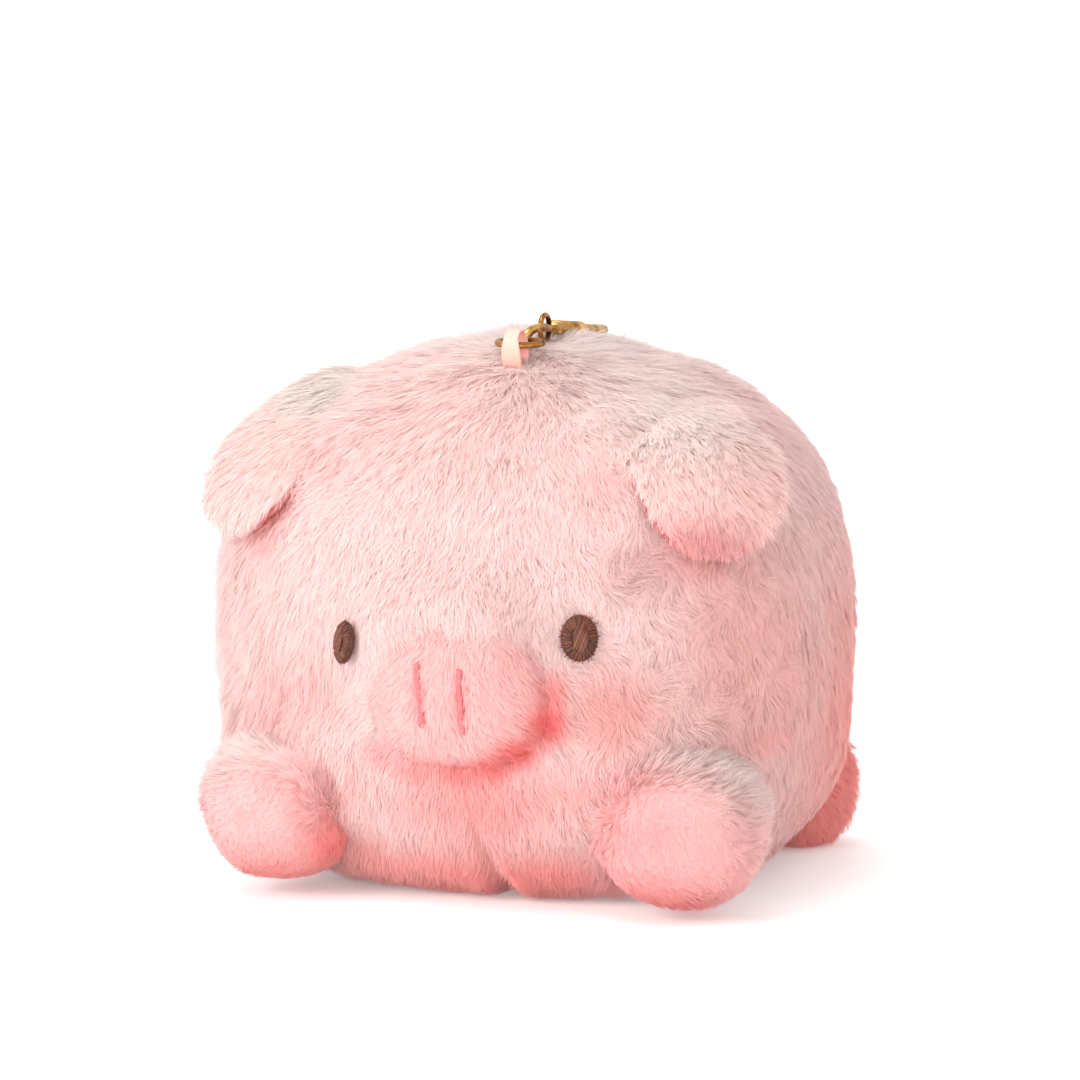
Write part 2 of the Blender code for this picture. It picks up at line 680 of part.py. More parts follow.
def make_ribbon():
    """A strip folded over a hole, seen from the side, and as wide as the ribbon."""
    half_w = LOOP_HOLE_WIDTH * HALF
    half_h = LOOP_HOLE_HEIGHT * HALF
    foot = LOOP_HOLE_Z - top_height(FACE_SEAM_TOP_Y) + OVERRUN * HALF
    hole = []
    outside = []
    for step in range(LOOP_POINTS):
        turn = FULL_TURN * step / LOOP_POINTS
        hole.append((half_w * math.cos(turn), half_h * math.sin(turn)))
        if math.sin(turn) >= 0:
            reach = RIBBON_THICKNESS
            outside.append(((half_w + reach) * math.cos(turn), (half_h + reach) * math.sin(turn)))
    below = -half_h * math.sin(HALF_TURN / 3)
    waist = RIBBON_THICKNESS + half_w * HALF
    outside += [
        (-waist - RIBBON_THICKNESS, below),
        (-RIBBON_THICKNESS, -half_h - RIBBON_THICKNESS),
        (-RIBBON_THICKNESS, -foot),
        (RIBBON_THICKNESS, -foot),
        (RIBBON_THICKNESS, -half_h - RIBBON_THICKNESS),
        (waist + RIBBON_THICKNESS, below),
    ]
    item = plate("ribbon_loop", (outside, hole), RIBBON_WIDTH)
    stand = Matrix(((0, 0, 1), (1, 0, 0), (0, 1, 0))).to_4x4()
    item.matrix_world = Matrix.Translation((0, FACE_SEAM_TOP_Y, LOOP_HOLE_Z)) @ stand
    cut(add("ribbon_loop", mesh_of_curve(item), SATIN_RIBBON), BODY_CLEARANCE)


def pivot(name, place):
    """An empty on a joint's axis, which carries the pieces that turn about it."""
    item = bpy.data.objects.new(name, None)
    PIG.objects.link(item)
    item.location = place
    bpy.context.view_layer.update()
    return item


# The chain lies along +Y on the centre plane. Each length below is where a wire's middle is.
RING_RADIUS = (RING_DIAMETER - RING_WIRE) * HALF
RING_FRONT = Vector((0, FACE_SEAM_TOP_Y, LOOP_HOLE_Z))
RING_BACK = RING_FRONT + Vector((0, 2 * RING_RADIUS, 0))
LINK_FRONT_Y = RING_BACK.y - (RING_WIRE + LINK_WIRE) * HALF - LINK_GAP
LINK_BACK_Y = LINK_FRONT_Y + LINK_LENGTH - LINK_WIRE
LINK_FRONT_Z = RING_BACK.z
LINK_BACK_Z = LINK_FRONT_Z + CHAIN_RISE
CONNECTOR_RADIUS = (CONNECTOR_DIAMETER - CONNECTOR_WIRE) * HALF
CONNECTOR_FRONT_Y = LINK_BACK_Y - (LINK_WIRE + CONNECTOR_WIRE) * HALF - LINK_GAP
CONNECTOR_MIDDLE = Vector((0, CONNECTOR_FRONT_Y + CONNECTOR_RADIUS, LINK_BACK_Z))
CONNECTOR_BACK_Y = CONNECTOR_FRONT_Y + 2 * CONNECTOR_RADIUS
EYE_FRONT_Y = CONNECTOR_BACK_Y - (CONNECTOR_WIRE + EYE_RING_WIRE) * HALF - LINK_GAP
EYE_RING_RADIUS = (EYE_RING_DIAMETER - EYE_RING_WIRE) * HALF
EYE_FRONT = Vector((0, EYE_FRONT_Y, CONNECTOR_MIDDLE.z))


def make_ring():
    """An open jump ring lying flat, its front wire in the ribbon loop and its split at one side."""
    centre = (RING_FRONT + RING_BACK) * HALF
    split = RING_SPLIT * HALF / RING_RADIUS
    flat = arc((centre.x, centre.y), RING_RADIUS, split, FULL_TURN - split, RING_POINTS)
    points = [Vector((x, y, centre.z)) for x, y in flat]
    mesh = mesh_of_curve(wire("jump_ring", points, RING_WIRE))
    add("jump_ring", mesh, BRIGHT_BRASS, pivot("ring_swing", RING_FRONT))


def make_link():
    """A curb link: upright where it hangs in the ring, flat where the connector hangs in it."""
    half_length = (LINK_BACK_Y - LINK_FRONT_Y) * HALF
    half_width = (LINK_WIDTH - LINK_WIRE) * HALF
    points = []
    for step in range(LINK_POINTS):
        turn = FULL_TURN * step / LINK_POINTS
        along = -math.cos(turn)
        aside = half_width * math.copysign(abs(math.sin(turn)) ** 0.8, math.sin(turn))
        roll = HALF_TURN / 4 * (1 - along)
        points.append(
            Vector(
                (
                    aside * math.cos(roll),
                    LINK_FRONT_Y + half_length * (1 + along),
                    LINK_FRONT_Z + CHAIN_RISE * (1 + along) * HALF + aside * math.sin(roll),
                )
            )
        )
    mesh = mesh_of_curve(wire("curb_link", points, LINK_WIRE, closed=True))
    add("curb_link", mesh, BRIGHT_BRASS, pivot("link_swing", RING_BACK))


def torus(name, radius, thickness, place, turn):
    bpy.ops.mesh.primitive_torus_add(
        major_radius=radius,
        minor_radius=thickness * HALF,
        major_segments=TORUS_SEGMENTS,
        minor_segments=WIRE_SEGMENTS,
    )
    item = bpy.context.object
    mesh = item.data
    mesh.name = name
    bpy.data.objects.remove(item)
    mesh.transform(Matrix.Translation(place) @ turn)
    return mesh


def make_connector():
    upright = Matrix.Rotation(HALF_TURN * HALF, 4, "Y")
    mesh = torus("connector_ring", CONNECTOR_RADIUS, CONNECTOR_WIRE, CONNECTOR_MIDDLE, upright)
    place = Vector((0, LINK_BACK_Y, LINK_BACK_Z))
    add("connector_ring", mesh, BRIGHT_BRASS, pivot("connector_swing", place))


def clasp_frame():
    """From the clasp's own lengths, along, aside and up from the middle of its eye, to the world."""
    tilt = Matrix.Rotation(CLASP_PITCH, 4, "X")
    back = Matrix.Translation(EYE_FRONT) @ tilt @ Matrix.Translation((0, EYE_RING_RADIUS, 0))
    return back @ Matrix(((0, 1, 0), (1, 0, 0), (0, 0, -1))).to_4x4()


def clasp_box(name, low, high):
    form = bmesh.new()
    bmesh.ops.create_cube(form, size=UNIT_CUBE)
    for vert in form.verts:
        vert.co = [high[i] if vert.co[i] > 0 else low[i] for i in range(3)]
    mesh = bpy.data.meshes.new(name)
    form.to_mesh(mesh)
    form.free()
    return mesh


def cylinder(name, diameter, length, segments):
    form = bmesh.new()
    bmesh.ops.create_cone(
        form,
        cap_ends=True,
        segments=segments,
        radius1=diameter * HALF,
        radius2=diameter * HALF,
        depth=length,
    )
    mesh = bpy.data.meshes.new(name)
    form.to_mesh(mesh)
    form.free()
    return mesh


HOOK_ASIDE = (HOOK_WIDTH - HOOK_WIRE) * HALF  # of the middle of its wire
PIN_ALONG = SLOT_START + PIN_FROM_SLOT_START
PIN_ASIDE = -(SHOULDER_WIDTH * HALF - GATE_WIDTH)


def make_clasp():
    to_world = clasp_frame()
    hinge = pivot("clasp_swing", EYE_FRONT)

    # The shoulder is a tapered block between the eye and the claw.
    form = bmesh.new()
    bmesh.ops.create_cube(form, size=UNIT_CUBE)
    for vert in form.verts:
        near = vert.co.x < 0
        vert.co.x = SHOULDER_START if near else SHOULDER_END
        vert.co.y *= SHOULDER_WIDTH * HALF * (SHOULDER_NECK_SHARE if near else 1)
        vert.co.z *= CLASP_THICKNESS * HALF
    shoulder = bpy.data.meshes.new("clasp_body")
    form.to_mesh(shoulder)
    form.free()
    shoulder.transform(to_world)
    body = add("clasp_body", shoulder, BRIGHT_BRASS, hinge, smooth=False)
    edge = body.modifiers.new("rounded_edges", "BEVEL")
    edge.width = SHOULDER_BEVEL
    edge.segments = 2
    edge.limit_method = "NONE"

    eye = torus("clasp_eye", EYE_RING_RADIUS, EYE_RING_WIRE, Vector(), Matrix.Identity(4))
    eye.transform(to_world)
    unite(body, cutter("clasp_eye", eye))

    # The claw is a round wire up the closed side, round the end and down to the nose.
    bend = HOOK_END - HOOK_WIRE * HALF - HOOK_ASIDE
    claw = [(SHOULDER_END - HOOK_WIRE, HOOK_ASIDE)]
    claw += arc((bend, 0.0), HOOK_ASIDE, HALF_TURN * HALF, -HALF_TURN * HALF, HOOK_POINTS)
    claw += [(HOOK_NOSE, -HOOK_ASIDE)]
    points = [Vector((x, y, 0.0)) for x, y in claw]
    hook = mesh_of_curve(wire("clasp_claw", points, HOOK_WIRE))
    hook.transform(to_world)
    unite(body, cutter("clasp_claw", hook))

    # A slot in the shoulder's open side takes the gate's hub and the spring.
    low = (SLOT_START, -SHOULDER_WIDTH, -SLOT_THICKNESS * HALF)
    high = (SHOULDER_END + OVERRUN, HOOK_ASIDE - HOOK_WIRE, SLOT_THICKNESS * HALF)
    slot = clasp_box("clasp_slot", low, high)
    slot.transform(to_world)
    cut(body, cutter("clasp_slot", slot))
    to_pin = to_world @ Matrix.Translation((PIN_ALONG, PIN_ASIDE, 0.0))
    bore = cylinder("pin_bore", PIN_DIAMETER + 2 * PIN_CLEARANCE, 2 * CLASP_THICKNESS, PIN_SEGMENTS)
    bore.transform(to_pin)
    cut(body, cutter("pin_bore", bore))

    pin = cylinder("clasp_pin", PIN_DIAMETER, CLASP_THICKNESS, PIN_SEGMENTS)
    pin.transform(to_pin)
    add("clasp_pin", pin, BRIGHT_BRASS, hinge, smooth=False)
    make_gate(to_world, to_pin)
    make_spring(to_pin, hinge)


def make_gate(to_world, to_pin):
    """The lever: a round hub on the pin, a straight bar to the claw's nose and a thumb nub outside."""
    hub = GATE_WIDTH * HALF + PIN_CLEARANCE
    bar_end = HOOK_NOSE - GATE_NOSE_GAP
    outer = -HOOK_ASIDE - GATE_WIDTH * HALF
    inner = -HOOK_ASIDE + GATE_WIDTH * HALF
    thumb = PIN_ALONG + GATE_WIDTH * 2
    outline = arc((PIN_ALONG, PIN_ASIDE), hub, HALF_TURN * HALF, HALF_TURN * 1.5, 8)
    outline += [(thumb, outer)]
    outline += arc(
        (thumb + THUMB_LENGTH * HALF, outer),
        THUMB_LENGTH * HALF,
        HALF_TURN,
        FULL_TURN,
        7,
    )[1:]
    outline += [(bar_end, outer), (bar_end, inner)]
    hole = arc((PIN_ALONG, PIN_ASIDE), PIN_DIAMETER * HALF + PIN_CLEARANCE, 0, FULL_TURN, 13)[:-1]
    item = plate("clasp_gate", (outline, hole), GATE_THICKNESS)
    mesh = mesh_of_curve(item)
    down = -(SLOT_THICKNESS - GATE_THICKNESS) * HALF + PIN_CLEARANCE
    mesh.transform(to_world @ Matrix.Translation((0, 0, down)))
    add("clasp_gate", mesh, BRIGHT_BRASS, pivot("gate_hinge", to_pin.translation), smooth=False)


def make_spring(to_pin, hinge):
    """A torsion spring round the pin, beside the gate's hub."""
    count = int(SPRING_TURNS * SPRING_TURN_POINTS) + 1
    room_low = -SLOT_THICKNESS * HALF + GATE_THICKNESS + 2 * PIN_CLEARANCE
    room_high = SLOT_THICKNESS * HALF - PIN_CLEARANCE
    low = room_low + SPRING_WIRE * HALF + PIN_CLEARANCE
    high = room_high - SPRING_WIRE * HALF
    points = []
    for step in range(count):
        share = step / (count - 1)
        turn = SPRING_TURNS * FULL_TURN * share
        radius = SPRING_DIAMETER * HALF
        points.append(
            Vector((radius * math.cos(turn), radius * math.sin(turn), low + (high - low) * share))
        )
    mesh = mesh_of_curve(wire("clasp_spring", points, SPRING_WIRE, sides=1))
    mesh.transform(to_pin)
    add("clasp_spring", mesh, SPRING_STEEL, hinge)


make_body()
make_snout()
make_eyes()
make_forelegs()
make_hindlegs()
make_ears()
make_tail()
make_ribbon()
make_ring()
make_link()
make_connector()
make_clasp()
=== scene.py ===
# %% [markdown]
# # A plush pig charm
# A stuffed pig about 103 mm wide lies on its belly. Its coat is a long, soft pile, its eyes and
# nostrils are stitched, and a ribbon in its top seam holds three brass rings and a clasp.
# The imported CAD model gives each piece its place. The looks are made round it, in metres.

# %% Load the frame
import json
import math

import bmesh
import bpy
import numpy as np
from mathutils import Matrix, Vector
from mathutils.kdtree import KDTree

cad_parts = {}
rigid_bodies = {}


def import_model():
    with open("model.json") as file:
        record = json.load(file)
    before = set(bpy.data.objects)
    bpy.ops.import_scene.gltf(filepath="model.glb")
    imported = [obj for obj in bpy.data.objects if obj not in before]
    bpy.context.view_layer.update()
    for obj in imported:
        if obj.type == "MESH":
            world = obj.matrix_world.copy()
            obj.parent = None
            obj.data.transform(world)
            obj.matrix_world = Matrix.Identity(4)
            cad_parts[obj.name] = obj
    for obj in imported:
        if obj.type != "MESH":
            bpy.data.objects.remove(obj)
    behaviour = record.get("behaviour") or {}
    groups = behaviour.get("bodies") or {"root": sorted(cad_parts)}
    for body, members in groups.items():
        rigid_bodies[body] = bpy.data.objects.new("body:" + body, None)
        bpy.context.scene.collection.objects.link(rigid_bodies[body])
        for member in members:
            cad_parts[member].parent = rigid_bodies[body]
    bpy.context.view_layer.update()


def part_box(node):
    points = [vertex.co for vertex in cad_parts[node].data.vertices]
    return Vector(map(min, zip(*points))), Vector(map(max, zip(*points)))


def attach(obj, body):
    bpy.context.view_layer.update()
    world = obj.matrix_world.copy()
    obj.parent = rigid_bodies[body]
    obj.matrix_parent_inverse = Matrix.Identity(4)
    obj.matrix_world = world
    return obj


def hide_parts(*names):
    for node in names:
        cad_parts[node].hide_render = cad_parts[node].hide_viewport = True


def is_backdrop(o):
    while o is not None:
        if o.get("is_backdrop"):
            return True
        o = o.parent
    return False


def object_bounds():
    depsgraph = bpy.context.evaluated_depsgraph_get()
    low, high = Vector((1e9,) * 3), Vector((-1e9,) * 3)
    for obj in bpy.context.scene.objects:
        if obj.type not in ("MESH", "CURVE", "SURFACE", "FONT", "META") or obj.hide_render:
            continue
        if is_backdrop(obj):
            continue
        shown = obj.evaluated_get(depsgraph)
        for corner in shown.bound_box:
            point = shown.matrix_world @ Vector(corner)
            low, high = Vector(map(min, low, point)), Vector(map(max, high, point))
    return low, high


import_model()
MM = 0.001

# %% [markdown]
# ## Camera
# The photograph looks at the pig from 20 degrees round to its left side and 8 degrees above the
# table. A camera can be moved by eye until the picture fits, but these two angles give its place
# exactly. A long lens from far off keeps the legs and the crest in the proportions seen there.


# %% Camera
def add_object(name, data):
    """Put a mesh, a curve, a light or a camera into the scene."""
    item = bpy.data.objects.new(name, data)
    bpy.context.scene.collection.objects.link(item)
    return item


CAMERA_ROUND = math.radians(20)
CAMERA_ABOVE = math.radians(8.2)
CAMERA_AWAY = 1.6
FRAME_WIDTH = 0.180  # what the picture spans at the pig
SENSOR_WIDTH = 36
AIM_ASIDE, AIM_UP = -0.00183, 0.05417
cos_round, sin_round = math.cos(CAMERA_ROUND), math.sin(CAMERA_ROUND)
cos_above, sin_above = math.cos(CAMERA_ABOVE), math.sin(CAMERA_ABOVE)
to_camera = Vector((sin_round * cos_above, -cos_round * cos_above, sin_above))
rightwards = Vector((cos_round, sin_round, 0))
upwards = to_camera.cross(rightwards)

camera = add_object("camera", bpy.data.cameras.new("camera"))
camera.data.sensor_width = SENSOR_WIDTH
camera.data.lens = SENSOR_WIDTH * CAMERA_AWAY / FRAME_WIDTH
camera.location = rightwards * AIM_ASIDE + upwards * AIM_UP + to_camera * CAMERA_AWAY
camera.rotation_mode = "QUATERNION"
camera.rotation_quaternion = to_camera.to_track_quat("Z", "Y")
bpy.context.scene.camera = camera
print("camera at", [round(v, 3) for v in camera.location], "lens", round(camera.data.lens))

# %% [markdown]
# ## Studio
# The toy was photographed under wide, soft light. One lamp would be simpler, but a hard lamp turns
# each strand of pile into a bright line. So there are an even sky and four large lights: a key
# high on the left, one overhead, a weak one on the right and one low in front. The floor glows a
# little, which keeps it pale under the pig. The helpers add and feed a shader node in one line, so
# a finish can be read as a list of what it is made of.


# %% Helpers for nodes
def feed(tree, node, inputs):
    """Give a node its inputs: each is a value, a colour, or the socket that it comes from."""
    for name, value in inputs.items():
        socket = node.inputs[name]
        if isinstance(value, bpy.types.NodeSocket):
            tree.links.new(value, socket)
        else:
            socket.default_value = (*value, 1) if socket.type == "RGBA" else value


def add_node(tree, kind, inputs=None, **settings):
    """Add a shader node with its settings and inputs."""
    node = tree.nodes.new("ShaderNode" + kind)
    for name, value in settings.items():
        setattr(node, name, value)
    feed(tree, node, inputs or {})
    return node


def new_material(name):
    """A new material, its node tree and its Principled shader."""
    made = bpy.data.materials.new(name)
    made.use_nodes = True
    return made, made.node_tree, made.node_tree.nodes["Principled BSDF"]


# %% Floor
def choose(*items):
    """Select these pieces and nothing else. The last one becomes active."""
    for other in bpy.context.selected_objects:
        other.select_set(False)
    for item in items:
        item.select_set(True)
        bpy.context.view_layer.objects.active = item


choose()
bpy.ops.mesh.primitive_plane_add(size=8.0, location=(0, 0, 0))
floor = bpy.context.object
floor.name = "floor"
paper, tree, shader = new_material("floor_paper")
feed(tree, shader, {"Base Color": (0.93, 0.93, 0.93), "Roughness": 0.9,
                    "Emission Color": (1, 1, 1), "Emission Strength": 0.20})
floor.data.materials.append(paper)
floor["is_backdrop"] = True
print("floor, m:", [round(v, 1) for v in floor.dimensions])

# %% Sky and lights
world = bpy.data.worlds.new("studio")
bpy.context.scene.world = world
world.use_nodes = True
tree = world.node_tree
ambient = tree.nodes["Background"]
feed(tree, ambient, {"Color": (1.0, 0.985, 0.975), "Strength": 0.94})
backdrop = add_node(tree, "Background", {"Strength": 1.0})
which_ray = add_node(tree, "LightPath")
sky = add_node(tree, "MixShader", {0: which_ray.outputs["Is Camera Ray"], 1: ambient.outputs[0],
                                   2: backdrop.outputs[0]})
feed(tree, tree.nodes["World Output"], {"Surface": sky.outputs[0]})
bpy.context.scene.view_settings.view_transform = "Standard"

LIT = Vector((0, 0, 0.04))
WARM, PALE = (1.0, 0.985, 0.97), (1.0, 0.99, 0.98)
for name, place, size, power, colour in (
    ("key", (-0.55, -0.80, 0.42), 0.60, 7.5, WARM),
    ("top", (-0.15, -0.10, 1.00), 0.60, 4.5, PALE),
    ("side", (0.95, -0.35, 0.45), 0.70, 1.0, PALE),
    ("low", (0.25, -1.00, 0.12), 0.50, 3.4, WARM),
):
    lamp = bpy.data.lights.new(name, "AREA")
    lamp.shape, lamp.size, lamp.energy, lamp.color = "DISK", size, power, colour
    item = add_object(name, lamp)
    item.location = place
    item.rotation_mode = "QUATERNION"
    item.rotation_quaternion = (Vector(place) - LIT).to_track_quat("Z", "Y")
    print(f"light {name}: {size} m wide, {power} W")

# %% [markdown]
# ## Forms under the coat
# A sewn and stuffed form swells between its seams. It could be sculpted, but a formula gives the
# same form in each run, and the CAD has the same one. Each form here starts as a cube whose faces
# are divided finely and whose points are pushed out to a rounded loaf, boxier where its power is
# higher.

# %% Helpers for points
SIDES = (("left", 1), ("right", -1))


def points_of(item):
    points = np.empty(len(item.data.vertices) * 3)
    item.data.vertices.foreach_get("co", points)
    return points.reshape(-1, 3)


def set_points(item, points):
    item.data.vertices.foreach_set("co", np.ascontiguousarray(points, np.float32).ravel())
    item.data.update()


def normals_of(item):
    normals = np.empty(len(item.data.vertices) * 3, np.float32)
    item.data.vertex_normals.foreach_get("vector", normals)
    return normals.reshape(-1, 3).astype(float)


def unit(vectors):
    return vectors / np.linalg.norm(vectors, axis=-1, keepdims=True)


def groove(distance, width):
    """1 on a line, fading softly to 0 at about twice the width from it."""
    return np.exp(-((distance / width) ** 2))


def smooth_step(value, low, high):
    """0 up to low, 1 from high on, and a soft rise between them."""
    share = np.clip((value - low) / (high - low), 0, 1)
    return share * share * (3 - 2 * share)


# %% Rounded forms
BODY_WIDTH, BODY_DEPTH, BODY_HEIGHT = 0.1010, 0.0910, 0.0875
BODY_POWERS = (2.6, 2.35, 4.2)  # in plan, above the middle, below it
FLAT = 0.0005  # how far the underside would reach below the floor
RUMP_TAPER, RUMP_POWER = 0.13, 1.5


def rounded_form(name, size, powers, cells):
    """A loaf of this size round the origin; the powers are in plan, above and below."""
    choose()
    bpy.ops.mesh.primitive_cube_add(size=2.0)
    item = bpy.context.object
    item.name = item.data.name = name
    bpy.ops.object.mode_set(mode="EDIT")
    bpy.ops.mesh.select_all(action="SELECT")
    bpy.ops.mesh.subdivide(number_cuts=cells - 1)
    bpy.ops.object.mode_set(mode="OBJECT")
    points = np.tan(points_of(item) * math.pi / 4)
    plan, upper, lower = powers
    power = np.where(points[:, 2] >= 0, upper, lower)
    flat = (abs(points[:, 0]) ** plan + abs(points[:, 1]) ** plan) ** (power / plan)
    reach = (flat + abs(points[:, 2]) ** power) ** (-1 / power)
    set_points(item, points * np.array(size) * reach[:, None] / 2)
    bpy.ops.object.shade_smooth()
    return item


# %% [markdown]
# ### Filling the covers
# A real cover is a bag of cloth, and its filling blows it out between the seams. The swelling
# could be drawn by hand, but Blender's cloth finds it by itself: the seams are pinned, a pressure
# acts inside, and twenty steps run without gravity. The movement is kept small, so each form still
# fits its CAD shape, and one subdivision makes the cloth finer.

# %% Fill a cover
CLOTH_STEPS = 20
CLOTH = {
    "vertex_group_mass": "seams", "mass": 0.001, "tension_stiffness": 0.6,
    "compression_stiffness": 0.6, "shear_stiffness": 0.3, "bending_stiffness": 0.05,
    "use_pressure": True, "uniform_pressure_force": 4.0,
}


def modify(item, kind, **settings):
    """Add a modifier, set it and apply it."""
    choose(item)
    made = item.modifiers.new(kind.lower(), kind)
    for name, value in settings.items():
        setattr(made, name, value)
    bpy.ops.object.modifier_apply(modifier=made.name)


def make_finer(item):
    modify(item, "SUBSURF", levels=1, render_levels=1)


def fill_cover(item, pinned, most):
    """Blow a cover out between its seams; pinned marks the seams, most is the largest move."""
    choose(item)
    before = points_of(item)
    pins = item.vertex_groups.new(name="seams")
    pins.add([int(index) for index in np.flatnonzero(pinned)], 1.0, "REPLACE")
    cloth = item.modifiers.new("filling", "CLOTH")
    for name, value in CLOTH.items():
        setattr(cloth.settings, name, value)
    cloth.settings.effector_weights.gravity = 0.0
    cloth.collision_settings.use_collision = False
    for step in range(1, CLOTH_STEPS + 1):
        bpy.context.scene.frame_set(step)
    bpy.ops.object.modifier_apply(modifier="filling")
    bpy.context.scene.frame_set(1)
    moved = points_of(item) - before
    far = np.linalg.norm(moved, axis=1)
    print(f"{item.name}: the cloth moved {far.mean() / MM:.2f} mm, at most {far.max() / MM:.2f} mm")
    share = np.tanh(far / most) * most / np.maximum(far, 1e-9)
    set_points(item, before + moved * share[:, None])
    make_finer(item)


# %% [markdown]
# ### Ears
# An ear is two leaves sewn back to back: long plush outside, short velour inside. It is sewn to
# the head along a slanting root, rises a little and folds down over the temple. It could be
# extruded and bent by hand, but a leaf along a curve is easier to fit: the curve from root to tip
# is a parabola, and a flat grid is laid along it and narrows towards the tip.

# %% The shape of an ear
# The ends of the root, the fold and the tip, as shares of half the width, half the depth and the height
HALF_BODY = np.array((BODY_WIDTH / 2, BODY_DEPTH / 2, BODY_HEIGHT))
EAR_BACK = np.array((0.6634, -0.2198, 0.9143)) * HALF_BODY
EAR_FRONT = np.array((0.3762, -0.6374, 0.8400)) * HALF_BODY
EAR_BEND = np.array((0.8416, -0.6923, 0.8343)) * HALF_BODY
EAR_TIP = np.array((0.8119, -0.8681, 0.6400)) * HALF_BODY
EAR_ROOT = (EAR_BACK + EAR_FRONT) / 2
EAR_ACROSS = np.array((-0.85, -0.52, 0.03))  # the leaf's cross direction past its fold
EAR_WIDTH, EAR_CUP = 0.0232, 0.0022
EAR_START, EAR_END = -0.1, 0.87  # the share of the curve that the leaf covers
EAR_NARROWS = 0.42  # where along the ear its tip begins


def ear_surface(aside, along, sign, lift):
    """Points and outward directions of the leaf; aside runs -1 to 1 and along 0 to 1."""
    aside, along = aside[:, None], along[:, None]
    centre = EAR_ROOT * (1 - along) ** 2 + EAR_BEND * 2 * along * (1 - along) + EAR_TIP * along**2
    forward = (EAR_BEND - EAR_ROOT) * (1 - along) + (EAR_TIP - EAR_BEND) * along
    blend = np.clip(2 * along, 0, 1)
    across = unit(unit(EAR_FRONT - EAR_BACK) * (1 - blend) + unit(EAR_ACROSS) * blend)
    outward = unit(np.cross(across, forward))
    rest = np.clip((along - EAR_NARROWS) / (EAR_END - EAR_NARROWS), 0, 1)
    tip = 0.14 + 0.86 * np.sqrt(np.clip(1 - rest**2.2, 0, 1))
    root = 1 - 0.06 * np.clip((0.5 - along) / 0.5, 0, 1) ** 2
    share = np.where(along < EAR_NARROWS, root, tip)
    cup = EAR_CUP * (1 - aside**2) * share
    spot = centre + across * aside * EAR_WIDTH / 2 * share + outward * (cup + lift)
    mirror = np.array((sign, 1, 1))
    return spot * mirror, outward * mirror


# %% Ear skins
EAR_LEAF = 0.9 * MM
PLUSH_LIFT, LINING_LIFT = 0.2 * MM, -1.0 * MM
CORNER_RISE = 2.6 * MM


def ear_leaf(name, sign, lift):
    """One leaf of an ear: a flat grid laid along the curve, with a thickness."""
    choose()
    bpy.ops.mesh.primitive_grid_add(x_subdivisions=20, y_subdivisions=24, size=2.0)
    item = bpy.context.object
    item.name = item.data.name = name
    flat = points_of(item)
    along = EAR_START + (EAR_END - EAR_START) * (flat[:, 1] + 1) / 2
    spots, outward = ear_surface(flat[:, 0], along, sign, lift)
    if sign < 0:  # the right ear's back corner stands up
        spots += outward * (CORNER_RISE * (1 - flat[:, 0]) / 2 * groove(along - 0.05, 0.3))[:, None]
    set_points(item, spots)
    if sign < 0:
        item.data.flip_normals()
    modify(item, "SOLIDIFY", thickness=EAR_LEAF, offset=1.0)
    make_finer(item)
    bpy.ops.object.shade_smooth()
    print(f"{name}: {len(item.data.polygons)} faces")
    return item


ear_plush, ear_lining = {}, {}
for side, sign in SIDES:
    ear_plush[side] = ear_leaf(f"plush_ear_{side}", sign, PLUSH_LIFT)
    ear_lining[side] = ear_leaf(f"velour_ear_lining_{side}", sign, LINING_LIFT)

# %% [markdown]
# ### Legs
# Each foreleg is a stub with a smooth pad sewn on in front, and the hind legs are plain stubs. Two
# covers that meet at an edge would show a hard line, but the real seam is a soft dent. So a
# foreleg is one filled form, and a shallow groove marks the seam between its pad and its cuff. At
# last each foreleg is widened and moved by a few millimetres, to where its filling has pushed it.

# %% Leg forms
FORELEG_SIZE = (0.0252, 0.0280, 0.0245)
FORELEG_MIDDLE = (0.0335, -0.0395, 0.01175)
FORELEG_SPLAY = math.radians(12)
HINDLEG_SIZE = (0.0170, 0.0200, 0.0220)
HINDLEG_MIDDLE = (0.03275, 0.0330, 0.0105)
HINDLEG_SPLAY = math.radians(-14)
LEG_POWER = 2.3
FORELEG_INSET, HINDLEG_INSET = 1.2 * MM, 1.0 * MM  # from the CAD surface to the skin
PAD_SEAM = 0.0060  # before the leg's middle
FORELEG_SWELL = {"left": (1.10, 1.0, 1.05), "right": (1.0, 1.0, 1.0)}
FORELEG_SHIFT = {"left": (2.3, 1.4, 2.2), "right": (1.2, 1.8, 2.2)}  # mm


def leg_place(middle, splay, sign):
    """The leg's turn about the upright, and its middle."""
    return np.array(Matrix.Rotation(sign * splay, 3, "Z")), np.array((sign * middle[0], *middle[1:]))


def leg_form(name, size, middle, splay, sign, inset, cells):
    """A leg's loaf, just inside its CAD surface, turned and put in its place."""
    item = rounded_form(name, [v - 2 * inset for v in size], (LEG_POWER,) * 3, cells)
    turn, place = leg_place(middle, splay, sign)
    set_points(item, points_of(item) @ turn.T + place)
    return item


def in_leg(points, middle, splay, sign):
    """The points as the leg sees them: across, along and up from its middle."""
    turn, place = leg_place(middle, splay, sign)
    return (points - place) @ turn


